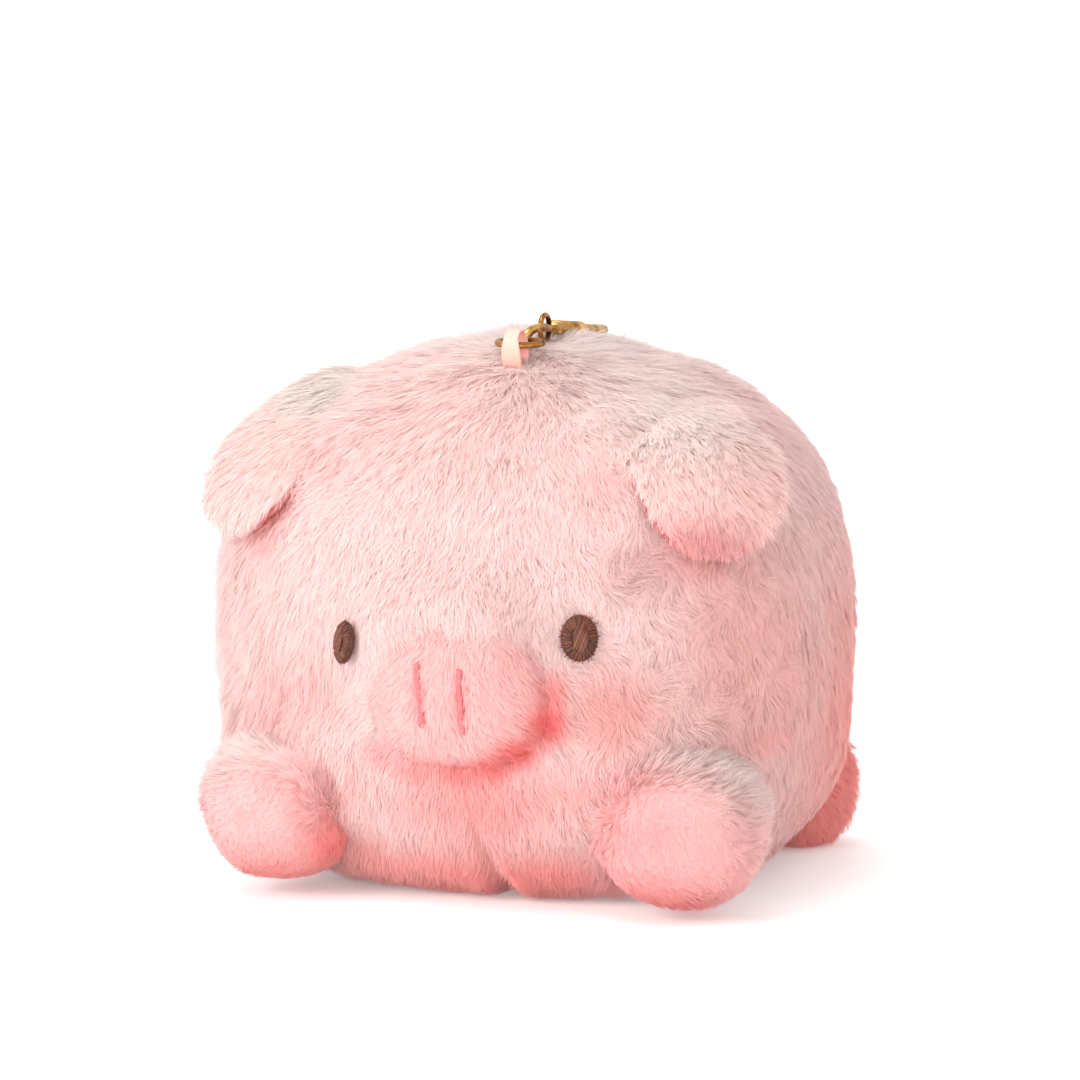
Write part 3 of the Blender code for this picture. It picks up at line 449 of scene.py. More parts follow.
# %% Leg skins
foreleg_skins, hindleg_skins = {}, {}
for side, sign in SIDES:
    foreleg = (FORELEG_MIDDLE, FORELEG_SPLAY, sign)
    skin = leg_form(f"plush_foreleg_{side}", FORELEG_SIZE, *foreleg, FORELEG_INSET, 12)
    along = in_leg(points_of(skin), *foreleg)[:, 1]
    fill_cover(skin, (abs(along + PAD_SEAM) < 1.2 * MM) | (along > 9 * MM), 0.5 * MM)
    points, normals = points_of(skin), normals_of(skin)
    _, middle = leg_place(*foreleg)
    points = middle + (points - middle) * FORELEG_SWELL[side] + np.array(FORELEG_SHIFT[side]) * MM
    seam = groove(in_leg(points, *foreleg)[:, 1] + PAD_SEAM, 0.9 * MM)
    points -= normals * (0.25 * MM * seam)[:, None]
    points[:, 2] = np.maximum(points[:, 2], 0.2 * MM)
    set_points(skin, points)
    foreleg_skins[side] = skin
    hindleg = (HINDLEG_MIDDLE, HINDLEG_SPLAY, sign)
    skin = leg_form(f"plush_hindleg_{side}", HINDLEG_SIZE, *hindleg, HINDLEG_INSET, 9)
    fill_cover(skin, points_of(skin)[:, 1] < HINDLEG_MIDDLE[1] - 7 * MM, 0.4 * MM)
    points = points_of(skin)
    points[:, 2] = np.maximum(points[:, 2], 0.3 * MM)
    set_points(skin, points)
    hindleg_skins[side] = skin
    print(f"legs on the {side}: {len(foreleg_skins[side].data.polygons)} and {len(skin.data.polygons)} faces")

# %% [markdown]
# ### Body
# The body is five panels of plush sewn edge to edge, but long pile hides all of an edge except a
# slight dent. So the panels are one closed skin, just inside the CAD surface, whose seams are
# pulled in: one down the middle of the face and along the back, and one round behind the cheeks.

# %% Body skin
SKIN_DEPTH = 0.4 * MM


def face_seam_y(z):
    """Where the seam behind the cheeks lies at a height."""
    return -0.0290 + (0.0290 - 0.0186) * (z - 0.007) / (BODY_HEIGHT - 0.007)


height = BODY_HEIGHT + FLAT
body_size = [v - 2 * SKIN_DEPTH for v in (BODY_WIDTH, BODY_DEPTH, height)]
body_skin = rounded_form("plush_body", body_size, BODY_POWERS, 24)
points = points_of(body_skin)
rearward = np.clip(points[:, 1] / (BODY_DEPTH / 2), 0, None)
points[:, 0] *= 1 - RUMP_TAPER * rearward**RUMP_POWER
points[:, 2] += BODY_HEIGHT - height / 2
set_points(body_skin, points)
x, y, z = points_of(body_skin).T
seams = (abs(x) < 1 * MM) | (abs(y - face_seam_y(z)) < 1.6 * MM) | (z < 1 * MM)
fill_cover(body_skin, seams, 0.8 * MM)
print("body skin:", len(body_skin.data.polygons), "faces")

# %% [markdown]
# ### Folds and swellings of the body
# The filling isn't even. The face swells round the snout and in the bridge above it, the crest
# stands up a little, and the coat bulges over the forelegs and on the pig's right side. A brush
# could raise these, but here each is a soft hill along the skin's own normals, so its place and
# height can be read and changed. These places are in millimetres.


# %% Swellings
def snout_reach(points):
    """Distance from the snout's middle as seen from in front, where 1 is the snout's rim."""
    return np.hypot(points[:, 0] / 0.0152, (points[:, 2] - 0.0370) / 0.0134)


points, normals = points_of(body_skin), normals_of(body_skin)
x, y, z = points.T / MM
low_rim = 0.25 + 0.75 * smooth_step(z, 30, 41)
bridge = np.exp(-((((x + 1) / 16) ** 2 + ((z - 44) / 12) ** 2) ** 1.5))
bridge = bridge * (1 - 0.5 * smooth_step(x, 6, 15))
raised = 2.0 * np.exp(-(((snout_reach(points) - 0.95) / 0.40) ** 2)) * low_rim + 5.5 * bridge
points += normals * (MM * raised * (y < -20))[:, None]
crest = smooth_step(z, 60, 80) * smooth_step(-x, -14, 2) * (1 - 0.6 * smooth_step(-x, 5, 16))
points += normals * (1.5 * MM * crest)[:, None]
for side, sign in SIDES:
    local = in_leg(points, FORELEG_MIDDLE, FORELEG_SPLAY, sign) / (np.array(FORELEG_SIZE) / 2)
    off_leg = ((abs(local) ** LEG_POWER).sum(axis=1) ** (1 / LEG_POWER) - 1) * 12
    swell = 2.6 * MM * np.exp(-((off_leg / 5) ** 2)) * smooth_step(z, 10, 18)
    points += normals * swell[:, None]
fluff = smooth_step(-points[:, 0], -0.004, 0.040) * smooth_step(points[:, 2], 0.010, 0.035)
fluff *= (1 - 0.8 * smooth_step(points[:, 2], 0.055, 0.080)) * (points[:, 1] < 0.030)
points += normals * (1.4 * MM * fluff)[:, None]
print("swellings of the face: up to", round(raised.max(), 1), "mm")

# %% [markdown]
# The edge under the pig's left flank is tucked up, as where filling has shifted. Round the ears'
# rims the coat rises to meet the ear, so no dark gap shows under it.

# %% The tuck and the ears' beds
TUCK_RISE = 7.5 * MM
EAR_BED = {"left": (1.9, 5.0), "right": (3.4, 5.5)}  # height and width, mm
x, y, z = points.T
tuck = smooth_step(x, 0.034, 0.049) * smooth_step(y, -0.034, -0.024) * (1 - smooth_step(y, 0.006, 0.026))
points[:, 2] += TUCK_RISE * tuck * np.clip(1 - z / 0.022, 0, 1)
for side, sign in SIDES:
    rim = np.concatenate((np.full(12, 1.0), np.linspace(1, -1, 9), np.full(8, -1.0)))
    reach = (np.linspace(0.05, EAR_END, 12), np.full(9, EAR_END), np.linspace(EAR_END, 0.4, 8))
    edge = ear_surface(rim, np.concatenate(reach), sign, 0.0)[0]
    gap = np.linalg.norm(points[:, None, :] - edge[None, :, :], axis=2).min(axis=1)
    rise, wide = EAR_BED[side]
    points += normals * (rise * MM * groove(gap, wide * MM))[:, None]
print("tuck: up to", round(TUCK_RISE / MM * tuck.max(), 1), "mm")

# %% [markdown]
# The thread of a seam pulls the cloth in, most at the pucker where the face meets the belly. These
# grooves go inwards along the normals. Last, the upright connector ring presses a small hollow
# into the crest, so it lies on the coat and not in it.


# %% Seams and the ring's hollow
def chin_seam_x(z):
    """Where the seam down the chin lies at a height; it leans a little."""
    return 0.0043 - 0.15 * (z - 0.0036)


PUCKER = np.array((0.0043, -0.0430, 0.0030))
x, y, z = points.T
depth = 0.5 * MM * groove(x, 1.6 * MM) * smooth_step(-z, -0.03, 0.0)
depth += 0.1 * MM * groove(y - face_seam_y(z), 1.6 * MM)
chin = groove(x - chin_seam_x(z), 1.3 * MM) * (y < -0.02)
depth += 1.5 * MM * chin * smooth_step(-z, -0.022, -0.006)
depth += 3.0 * MM * groove(np.linalg.norm(points - PUCKER, axis=1), 3.2 * MM)
points -= normals * depth[:, None]
hollow = groove(np.hypot(points[:, 0], points[:, 1] + 3.5 * MM), 4.5 * MM) * (points[:, 2] > 0.07)
points[:, 2] -= 1.1 * MM * hollow
points[:, 2] = np.maximum(points[:, 2], 0.4 * MM)
set_points(body_skin, points)
print("seams: up to", round(depth.max() / MM, 1), "mm deep")

# %% [markdown]
# ### Snout
# The snout is an oval cushion sewn on in front, a little flatter there. It could be drawn out of
# the body, but its own form keeps the fold round it sharp. The two nostril stitches pull its cloth
# in, so each one lies in an upright valley.

# %% Snout skin
SNOUT_SIZE = (0.0300, 0.0240, 0.0265)
SNOUT_MIDDLE = (0.0, -0.0420, 0.0370)
SNOUT_POWER = 2.5
SNOUT_SWELL = 0.1 * MM
SNOUT_SHIFT = np.array((0.8, 0.0, 0.5)) * MM
NOSTRIL_X, NOSTRIL_Z, NOSTRIL_TALL = 0.0036, 0.0362, 0.0116

snout_size = [v + 2 * SNOUT_SWELL for v in SNOUT_SIZE]
snout_skin = rounded_form("plush_snout", snout_size, (SNOUT_POWER,) * 3, 16)
set_points(snout_skin, points_of(snout_skin) + np.array(SNOUT_MIDDLE))
fill_cover(snout_skin, points_of(snout_skin)[:, 1] > -0.038, 0.5 * MM)
points, normals = points_of(snout_skin), normals_of(snout_skin)
points += SNOUT_SHIFT
for sign in (-1, 1):
    tall = np.clip(1 - ((points[:, 2] - NOSTRIL_Z) / (0.62 * NOSTRIL_TALL)) ** 2, 0, 1)
    valley = groove(points[:, 0] - sign * NOSTRIL_X, 1.3 * MM) * tall
    facing = points[:, 1] < SNOUT_MIDDLE[1]
    points -= normals * (0.9 * MM * valley * facing)[:, None]
set_points(snout_skin, points)
print("snout skin:", len(snout_skin.data.polygons), "faces")

# %% [markdown]
# ### Tail
# A pig's tail is a small stuffed corkscrew in the rear seam. A curve with a round bevel makes such
# a tube in one step and tapers it by the radius of its points. It then becomes a mesh, its double
# points are merged, and its faces are turned outwards.

# %% Tail skin
TAIL_Z = 0.5943 * BODY_HEIGHT
TAIL_TURNS, TAIL_PITCH, TAIL_RADIUS = 1.4, 0.0052, 0.0030
TAIL_THICKNESS, TAIL_TAPER, TAIL_POINTS = 0.0040, 0.45, 26

tail_path = [(0, BODY_DEPTH / 2 - 0.0046, TAIL_Z - 0.0015)]
for step in range(TAIL_POINTS):
    share = step / (TAIL_POINTS - 1)
    turn = TAIL_TURNS * 2 * math.pi * share
    reach = TAIL_RADIUS * min(1.0, 2 * share)
    behind = BODY_DEPTH / 2 - 0.001 + TAIL_PITCH * TAIL_TURNS * share
    tail_path.append((reach * math.sin(turn), behind, TAIL_Z - reach * math.cos(turn)))

data = bpy.data.curves.new("plush_tail", "CURVE")
data.dimensions = "3D"
data.bevel_depth = TAIL_THICKNESS / 2
data.bevel_resolution = 3
data.use_fill_caps = True
spline = data.splines.new("POLY")
spline.points.add(len(tail_path) - 1)
for index, point in enumerate(tail_path):
    spline.points[index].co = (*point, 1)
    spline.points[index].radius = 1 - TAIL_TAPER * index / TAIL_POINTS
choose(add_object("plush_tail", data))
bpy.ops.object.convert(target="MESH")
tail_skin = bpy.context.object
form = bmesh.new()
form.from_mesh(tail_skin.data)
bmesh.ops.remove_doubles(form, verts=form.verts[:], dist=1e-7)
bmesh.ops.recalc_face_normals(form, faces=form.faces[:])
form.to_mesh(tail_skin.data)
form.free()
bpy.ops.object.shade_smooth()
print("tail skin:", len(tail_skin.data.polygons), "faces")

# %% [markdown]
# ## The colour of the coat
# The cloth is one pale pink, but under the studio light it doesn't look so: it is nearly white where
# light falls on the crest and the ear backs, coral where the pile is in shade near the floor, and
# deepest in the shade under the snout. This light and shade is painted into the coat's colour. A
# painted image could carry it, but it would need a map of the whole skin. The node group below makes
# a soft mask round a point instead, and each patch of colour is one such mask.


# %% A soft patch, as a node group
def soft_patch_group():
    """1 in the middle of an ellipsoid and 0 from its surface on, times the amount."""
    group = bpy.data.node_groups.new("soft_patch", "ShaderNodeTree")
    for name, way, kind in (("Centre", "INPUT", "Vector"), ("Size", "INPUT", "Vector"),
                            ("Amount", "INPUT", "Float"), ("Mask", "OUTPUT", "Float")):
        group.interface.new_socket(name, in_out=way, socket_type="NodeSocket" + kind)
    given, out = group.nodes.new("NodeGroupInput").outputs, group.nodes.new("NodeGroupOutput")
    last = add_node(group, "TexCoord").outputs["Object"]
    for operation, other in (("SUBTRACT", "Centre"), ("DIVIDE", "Size")):
        last = add_node(group, "VectorMath", {0: last, 1: given[other]}, operation=operation).outputs[0]
    length = add_node(group, "VectorMath", {0: last}, operation="LENGTH").outputs["Value"]
    fade = add_node(group, "MapRange", {"Value": length, "From Min": 1.0, "From Max": 0.0},
                    interpolation_type="SMOOTHERSTEP")
    mask = add_node(group, "Math", {0: fade.outputs["Result"], 1: given["Amount"]}, operation="MULTIPLY")
    feed(group, out, {"Mask": mask.outputs[0]})
    return group


SOFT_PATCH = soft_patch_group()
print("soft patch:", len(SOFT_PATCH.nodes), "nodes")

# %% [markdown]
# A colour is written as a photo editor shows it and turned into the linear light that shaders
# take. Each patch has a centre and a size in millimetres, a colour and an amount. The same list
# colours the strands and the cloth under them, so no pale cloth shows where the pile parts.


# %% Colours
def srgb(red, green, blue):
    """A colour as a photo editor gives it, 0 to 255, in linear light."""
    linear = []
    for value in (red / 255, green / 255, blue / 255):
        linear.append(value / 12.92 if value <= 0.04045 else ((value + 0.055) / 1.055) ** 2.4)
    return tuple(linear)


COAT = srgb(249, 229, 227)
# Painted light: the next two tones are paler than the cloth and stand for light falling on the tops.
TOP_LIGHT = srgb(244, 238, 235)
BRIGHT_TOP_LIGHT = srgb(250, 241, 238)
ROSE = srgb(251, 214, 212)
# Painted shade: the tones from here on are darker than the cloth and stand for shade on the cheek and the
# flank away from the light, low down, in creases, and under the ears and the snout.
ROSE_SHADE = srgb(236, 206, 205)
CHEEK_SHADE = srgb(250, 215, 211)
CORAL_SHADE = srgb(250, 196, 193)
CRIMSON_SHADE = srgb(252, 157, 155)
FLAME_SHADE = srgb(255, 181, 176)
FLANK_SHADE = srgb(253, 184, 177)
SNOUT_SIDE_SHADE = srgb(246, 193, 186)

# %% Patches of colour
# Painted shade under the snout's rim, deepest on the side away from the light.
RIM_PATCHES = [
    ((17.0, -45, 37), (4, 12, 6), CRIMSON_SHADE, 0.60),
    ((15.8, -45, 31.5), (5.5, 12, 6.5), CRIMSON_SHADE, 1.0),
    ((11.2, -46, 27), (6, 12, 5.5), CRIMSON_SHADE, 0.95),
    ((6.5, -46, 24), (6, 12, 5), CRIMSON_SHADE, 0.85),
    ((0.5, -46, 22.6), (7, 12, 4.5), CRIMSON_SHADE, 0.65),
    ((-6.5, -46, 22.8), (7, 12, 4.5), CRIMSON_SHADE, 0.45),
    ((-12.5, -45, 25), (6, 12, 5), CRIMSON_SHADE, 0.35),
]
# Painted light on the top, and painted shade on the flank, low down, round the snout, under the ears and in
# the seams and the pucker.
BODY_PATCHES = [
    ((0, 6, 98), (60, 62, 36), TOP_LIGHT, 0.9),
    ((28, -20, 84), (28, 30, 22), BRIGHT_TOP_LIGHT, 1.0),
    ((64, 20, 20), (44, 62, 62), FLANK_SHADE, 0.9),
    ((0, -30, -6), (75, 60, 24), CORAL_SHADE, 0.8),
    ((20, 25, -8), (75, 50, 26), CORAL_SHADE, 0.75),
    ((46, -30, 42), (22, 26, 34), CHEEK_SHADE, 0.9),
    ((-36, -40, 22), (18, 20, 20), ROSE, 0.5),
    ((4, -44, 17), (26, 14, 12), CORAL_SHADE, 0.85),
    ((26, -42, 33), (14, 14, 13), SNOUT_SIDE_SHADE, 0.7),
    ((22, -40, 20), (12, 14, 10), CORAL_SHADE, 0.60),
    ((-28, -42, 33), (13, 14, 12), ROSE, 0.6),
    ((-22, -40, 18), (12, 14, 10), CORAL_SHADE, 0.50),
    ((3, -46, 11), (4, 10, 12), CORAL_SHADE, 0.70),
    ((4.3, -43, 3), (3.5, 8, 4), CRIMSON_SHADE, 0.9),
    ((4, -44, 0), (60, 24, 15), FLAME_SHADE, 0.9),
    ((30, -40, 56), (12, 14, 9), ROSE_SHADE, 0.8),
    ((42, -38, 59), (16, 14, 9), CORAL_SHADE, 0.6),
    ((22, -34, 68), (7, 10, 9), CORAL_SHADE, 0.4),
    ((-26.5, -34, 71), (7, 10, 8), CORAL_SHADE, 0.45),
    ((-32.5, -36, 65), (8, 10, 8), CORAL_SHADE, 0.5),
    ((-37, -38, 60), (8, 10, 8), CORAL_SHADE, 0.5),
    ((-19, -43, 4), (9, 14, 12), FLAME_SHADE, 0.5),
    ((15, -45, 2), (12, 14, 10), srgb(255, 148, 145), 0.75),
    ((47, -26, 27), (8, 12, 4), CRIMSON_SHADE, 0.2),
    ((51, -22, 34), (6, 9, 20), CORAL_SHADE, 0.4),
    *RIM_PATCHES,
]
# Painted light on the snout's top, and painted shade on its sides, in the nostrils' valleys and under its
# rim.
SNOUT_PATCHES = [
    ((0, -38, 53), (24, 36, 15), srgb(249, 227, 225), 1.0),
    ((-15, -46, 42), (11, 20, 16), ROSE, 0.5),
    ((13, -46, 42), (8, 20, 10), ROSE, 0.8),
    ((4.1, -54, 35), (2.2, 6, 8), CORAL_SHADE, 0.75),
    ((-3.0, -54, 36), (2.2, 6, 8), CORAL_SHADE, 0.65),
    *RIM_PATCHES,
]
# Painted light on the cuffs' tops, and painted shade low on the pads and between the legs.
FORELEG_PATCHES = [
    ((42, -36, 26), (27, 20, 20), BRIGHT_TOP_LIGHT, 1.0),
    ((-37, -38, 27), (27, 19, 17), TOP_LIGHT, 1.0),
    ((36, -48, -1), (24, 24, 16), srgb(247, 178, 176), 0.9),
    ((-32, -48, -1), (24, 24, 16), srgb(247, 176, 172), 0.9),
    ((-21, -46, 6), (7, 18, 14), srgb(255, 166, 162), 0.95),
    ((22, -46, 6), (6, 18, 14), srgb(255, 172, 168), 0.8),
    ((34, -53, 16), (12, 12, 9), srgb(250, 203, 202), 0.7),
]
# Painted light on the ears' tops, and painted shade along their lower rims and in the folds under them.
EAR_PATCHES = [
    ((32, -24, 78), (26, 28, 22), BRIGHT_TOP_LIGHT, 1.0),
    ((-32, -22, 82), (24, 26, 20), srgb(240, 233, 229), 1.0),
    ((41, -42, 59), (20, 16, 11), srgb(236, 180, 178), 0.9),
    ((-27, -36, 66), (6, 14, 14), CORAL_SHADE, 0.8),
    ((-34, -36, 59), (8, 14, 6), CORAL_SHADE, 0.6),
]
print("patches:", [len(rows) for rows in (BODY_PATCHES, SNOUT_PATCHES, FORELEG_PATCHES, EAR_PATCHES)])

# %% [markdown]
# Deep in the pile a strand lies in shade, so its lower part is painted a little darker than its tip;
# no two strands are alike, and light shines through a fibre. The first two facts are stored on each
# point of the pile as attributes, which the material reads. For the third, a translucent shader is
# mixed in, because deep pile looks grey without it.

# %% Pile material
# Painted shade deep in the pile: the root's tone darkens a strand's lower part a little.
ROOT_SHADE = (1.0, 0.97, 0.965)
ROOT_SHARE = 0.75  # how far up a strand the root's tint reaches
THROUGH = 0.55  # how much of the light goes through a strand


def pile_material(name, base, patches):
    """A base colour, the painted light and shade over it, darker roots as painted shade, then each strand's
    tones.
    """
    made, tree, shader = new_material(name)
    plain = add_node(tree, "RGB")
    plain.outputs[0].default_value = (*base, 1)
    colour = plain.outputs[0]
    for centre, size, tint, amount in patches:
        patch = tree.nodes.new("ShaderNodeGroup")
        patch.node_tree = SOFT_PATCH
        feed(tree, patch, {"Centre": [v * MM for v in centre], "Size": [v * MM for v in size],
                           "Amount": amount})
        mix = add_node(tree, "Mix", data_type="RGBA")
        feed(tree, mix, {"Factor": patch.outputs["Mask"], 6: colour, 7: tint})
        colour = mix.outputs[2]
    along = add_node(tree, "Attribute", attribute_name="root_to_tip").outputs["Fac"]
    tone = add_node(tree, "Attribute", attribute_name="strand_tone").outputs["Fac"]
    reach = add_node(tree, "MapRange", {"Value": along, "From Max": ROOT_SHARE, "To Min": 1.0, "To Max": 0.0})
    deep = add_node(tree, "Mix", data_type="RGBA", blend_type="MULTIPLY")
    feed(tree, deep, {"Factor": reach.outputs["Result"], 6: colour, 7: ROOT_SHADE})
    bright = add_node(tree, "VectorMath", operation="SCALE")
    feed(tree, bright, {0: deep.outputs[2], "Scale": tone})
    feed(tree, shader, {"Base Color": bright.outputs[0], "Roughness": 0.8, "Specular IOR Level": 0.25})
    through = add_node(tree, "BsdfTranslucent", {"Color": bright.outputs[0]})
    both = add_node(tree, "MixShader", {0: THROUGH, 1: shader.outputs[0], 2: through.outputs[0]})
    feed(tree, tree.nodes["Material Output"], {"Surface": both.outputs[0]})
    print(f"{name}: {len(patches)} patches")
    return made


PILE = pile_material("coat_pile", COAT, BODY_PATCHES)
SNOUT_PILE = pile_material("snout_pile", srgb(252, 218, 216), SNOUT_PATCHES)
PAD_PILE = pile_material("paw_pile", srgb(253, 217, 216), FORELEG_PATCHES)
EAR_PILE = pile_material("ear_pile", srgb(252, 229, 226), EAR_PATCHES)
LINING_PILE = pile_material("ear_lining_velour", srgb(244, 170, 169), [])
# The hind legs' deeper coral is painted shade, so from behind they look darker than the rump.
HINDLEG_PILE = pile_material("hindleg_pile", srgb(253, 184, 178), [])

# %% [markdown]
# ## Growing the pile
# Long-pile plush is thousands of fibres that stand out of the cloth, lean one way and gather in
# small tufts. Blender's hair isn't kept by the export, so each visible strand is a narrow ribbon
# of three or five triangles. First, points are scattered evenly over the cloth. A field of crossed
# waves then gives numbers that change softly, so neighbours agree as real pile does.

# %% Scatter points over a skin
rng = np.random.default_rng(7)


def scatter(item, density, keep):
    """Random points and smooth normals on the faces; density is strands for each square mm."""
    mesh = item.data
    mesh.calc_loop_triangles()
    tris = np.empty(len(mesh.loop_triangles) * 3, np.int32)
    mesh.loop_triangles.foreach_get("vertices", tris)
    tris = tris.reshape(-1, 3)
    points, normals = points_of(item), normals_of(item)
    corners = points[tris]
    area = np.linalg.norm(np.cross(corners[:, 1] - corners[:, 0], corners[:, 2] - corners[:, 0]), axis=1) / 2
    count = int(area.sum() / MM**2 * density)
    chosen = rng.choice(len(tris), count, p=area / area.sum())
    share = rng.random((count, 2))
    over = share.sum(axis=1) > 1
    share[over] = 1 - share[over]
    weights = np.column_stack((1 - share.sum(axis=1), share))[:, :, None]
    spots = (points[tris[chosen]] * weights).sum(axis=1)
    outward = unit((normals[tris[chosen]] * weights).sum(axis=1))
    kept = keep(spots, outward)
    return spots[kept], outward[kept]


def wave_noise(points, size, seed):
    """A smooth field between about -1 and 1, from a few crossed sine waves."""
    draw = np.random.default_rng(seed)
    total = np.zeros(len(points))
    for _ in range(7):
        direction = unit(draw.normal(size=3)) * (2 * math.pi / size) * draw.uniform(0.6, 1.5)
        total += np.sin(points @ direction + draw.uniform(0, 2 * math.pi))
    return total / 7**0.5 / 0.7


# %% [markdown]
# ### One mesh of strands
# A mesh can be built face by face, but half a million strands need whole arrays. Every strand has
# the same corners: pairs up both edges of the ribbon and one at its tip. Its shading normals are
# those of the cloth, because light falls on pile as on one soft surface.


# %% Build the strands
def store(mesh, name, values):
    """Keep one number for each point as an attribute, which a material can read."""
    mesh.attributes.new(name, "FLOAT", "POINT").data.foreach_set("value", np.asarray(values, np.float32))


def strand_mesh(name, count, path, face, widths, tones, shading):
    """All strands as one mesh: quads up each ribbon and a triangle at its tip."""
    steps = len(path) - 1
    shares = np.linspace(0, 1, steps + 1)
    verts = []
    for spot, width in zip(path, widths):
        verts += [spot - face * width / 2, spot + face * width / 2]
    verts.append(path[-1])
    per = len(verts)
    verts = np.stack(verts, axis=1).reshape(-1, 3)
    ring = [np.array([2 * step, 2 * step + 1, 2 * step + 3, 2 * step + 2]) for step in range(steps - 1)]
    ring.append(np.array([per - 3, per - 2, per - 1]))
    base = (np.arange(count) * per)[:, None]
    loops = np.concatenate([base + corners for corners in ring], axis=1)
    sizes = np.tile([4] * (steps - 1) + [3], count)
    mesh = bpy.data.meshes.new(name)
    mesh.vertices.add(len(verts))
    mesh.vertices.foreach_set("co", verts.astype(np.float32).ravel())
    mesh.loops.add(loops.size)
    mesh.loops.foreach_set("vertex_index", loops.astype(np.int32).ravel())
    mesh.polygons.add(len(sizes))
    starts = np.concatenate(([0], np.cumsum(sizes)[:-1])).astype(np.int32)
    mesh.polygons.foreach_set("loop_start", starts)
    mesh.polygons.foreach_set("loop_total", sizes.astype(np.int32))
    mesh.update(calc_edges=True)
    reach = [shares[i // 2] for i in range(2 * steps)]
    store(mesh, "root_to_tip", np.tile([*reach, 1.0], count))
    store(mesh, "strand_tone", np.repeat(tones, per))
    # Each strand has its own cell of the UV map.
    cells = math.ceil(math.sqrt(count))
    edges = [(0.9 if i % 2 else 0.1, 0.06 + 0.88 * reach[i]) for i in range(2 * steps)]
    corner = np.array([*edges, (0.5, 0.94)])
    cell = np.stack((np.arange(count) % cells, np.arange(count) // cells), axis=1)
    uv = (cell[:, None, :] + corner[loops % per]) / cells
    mesh.uv_layers.new(name="OFBake").uv.foreach_set("vector", uv.astype(np.float32).ravel())
    mesh.shade_smooth()
    mesh.normals_split_custom_set_from_vertices(np.repeat(shading, per, axis=0))
    return mesh


# %% [markdown]
# ### How a strand lies
# Each point joins the nearest tuft. A tuft has its own turn, length, lift, bend and tone, a strand
# strays a little from its tuft, and its upper part is drawn to the tuft's middle. Strands that are
# all alike would look like a brush, and strands without tufts like mist.

# %% Grow a piece of pile
TUFT_STRANDS = 9  # on average
# How much tufts differ, and how much the strands of a tuft do
SIZE_SPREAD, STRAND_SIZE_SPREAD = 0.10, 0.06
LIFT_SPREAD, STRAND_LIFT_SPREAD = 0.07, 0.05
BEND_SPREAD, STRAND_BEND_SPREAD = 0.25, 0.08
TONE_SPREAD, STRAND_TONE_SPREAD = 0.015, 0.009
TWIST_SPREAD = 0.45
LEAST_LIFT, MOST_LIFT = 0.08, 1.45
RIBBON_SHARES = {3: np.array([0.85, 1.0, 0.75]), 2: np.array([0.9, 0.9])}  # of the width, at each step


def grow(name, look, body, spots, outward, lean, length, lift, width, seed, gather=0.4, wave=0.15,
         stray=0.28, steps=3, flow=0.16):
    """Grow one piece of pile with this look, which rides on this body.

    lean: the way the pile lies at each spot. length: metres. lift: how steeply it stands, radians.
    gather: how far a strand is drawn to its tuft. wave, stray, flow: how much tufts, strands and
    whole areas turn aside. steps: the ribbon's segments.
    """
    draw = np.random.default_rng(seed)
    count = len(spots)
    lean = unit(lean - outward * (lean * outward).sum(axis=1, keepdims=True))
    tufts = draw.choice(count, max(8, int(count / TUFT_STRANDS)), replace=False)
    tree = KDTree(len(tufts))
    for number, index in enumerate(tufts):
        tree.insert(spots[index], number)
    tree.balance()
    member = np.array([tree.find(spot)[1] for spot in spots])
    own = tufts[member]
    # The order of these draws stays, because each one changes all that follow.
    turn_tuft = draw.normal(0, wave, len(tufts))
    size_tuft = 1 + draw.normal(0, SIZE_SPREAD, len(tufts))
    tone_tuft = 1 + draw.normal(0, TONE_SPREAD, len(tufts))
    lift_tuft = draw.normal(0, LIFT_SPREAD, len(tufts))
    turn = turn_tuft[member] + draw.normal(0, stray, count) + flow * wave_noise(spots, 9 * MM, 17)
    way = lean * np.cos(turn)[:, None] + np.cross(outward, lean) * np.sin(turn)[:, None]
    rise = lift + lift_tuft[member] + draw.normal(0, STRAND_LIFT_SPREAD, count)
    rise = np.clip(rise, LEAST_LIFT, MOST_LIFT)
    long = length * size_tuft[member] * (1 + draw.normal(0, STRAND_SIZE_SPREAD, count))
    bend_tuft = draw.normal(0, BEND_SPREAD, len(tufts))
    bend = bend_tuft[member] + draw.normal(0, STRAND_BEND_SPREAD, count)
    twist = draw.normal(0, TWIST_SPREAD, count)
    tones = tone_tuft[member] * (1 + draw.normal(0, STRAND_TONE_SPREAD, count))
    across = unit(np.cross(way, outward))
    # Points along each strand: it stands up first and then lies over.
    path = []
    for share in np.linspace(0, 1, steps + 1):
        up = np.sin(rise) * (share - 0.32 * share**2) * 1.25
        along = np.cos(rise) * share * (0.75 + 0.25 * share)
        straight = outward * up[:, None] + way * along[:, None]
        aside = across * (bend * 0.28 * share**2)[:, None]
        spot = spots + (straight + aside) * long[:, None]
        centre = spots[own] + straight[own] * long[own][:, None]
        spot += (centre - spot) * np.reshape(gather * share**1.2, (-1, 1))
        spot[:, 2] = np.maximum(spot[:, 2], 0.2 * MM)
        path.append(spot)
    face = across * np.cos(twist)[:, None] + outward * np.sin(twist)[:, None]
    shading = unit(outward[own] + across * bend[:, None] * 0.15)
    mesh = strand_mesh(name, count, path, face, width * RIBBON_SHARES[steps], tones, shading)
    mesh.materials.append(look)
    item = add_object(name, mesh)
    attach(item, body)
    print(f"{name}: {count} strands, {count * (2 * steps - 1)} triangles")


# %% [markdown]
# ### Where the pile grows on the body, and which way it lies
# The coat is combed: it lies away from a whorl on top, down over the face, outwards on the cheeks
# and back over the crest and the rump. Each strand could be combed by hand, but a sum of a few
# directions is shorter, each one strong near what it belongs to. Nothing grows where another form
# is sewn on.

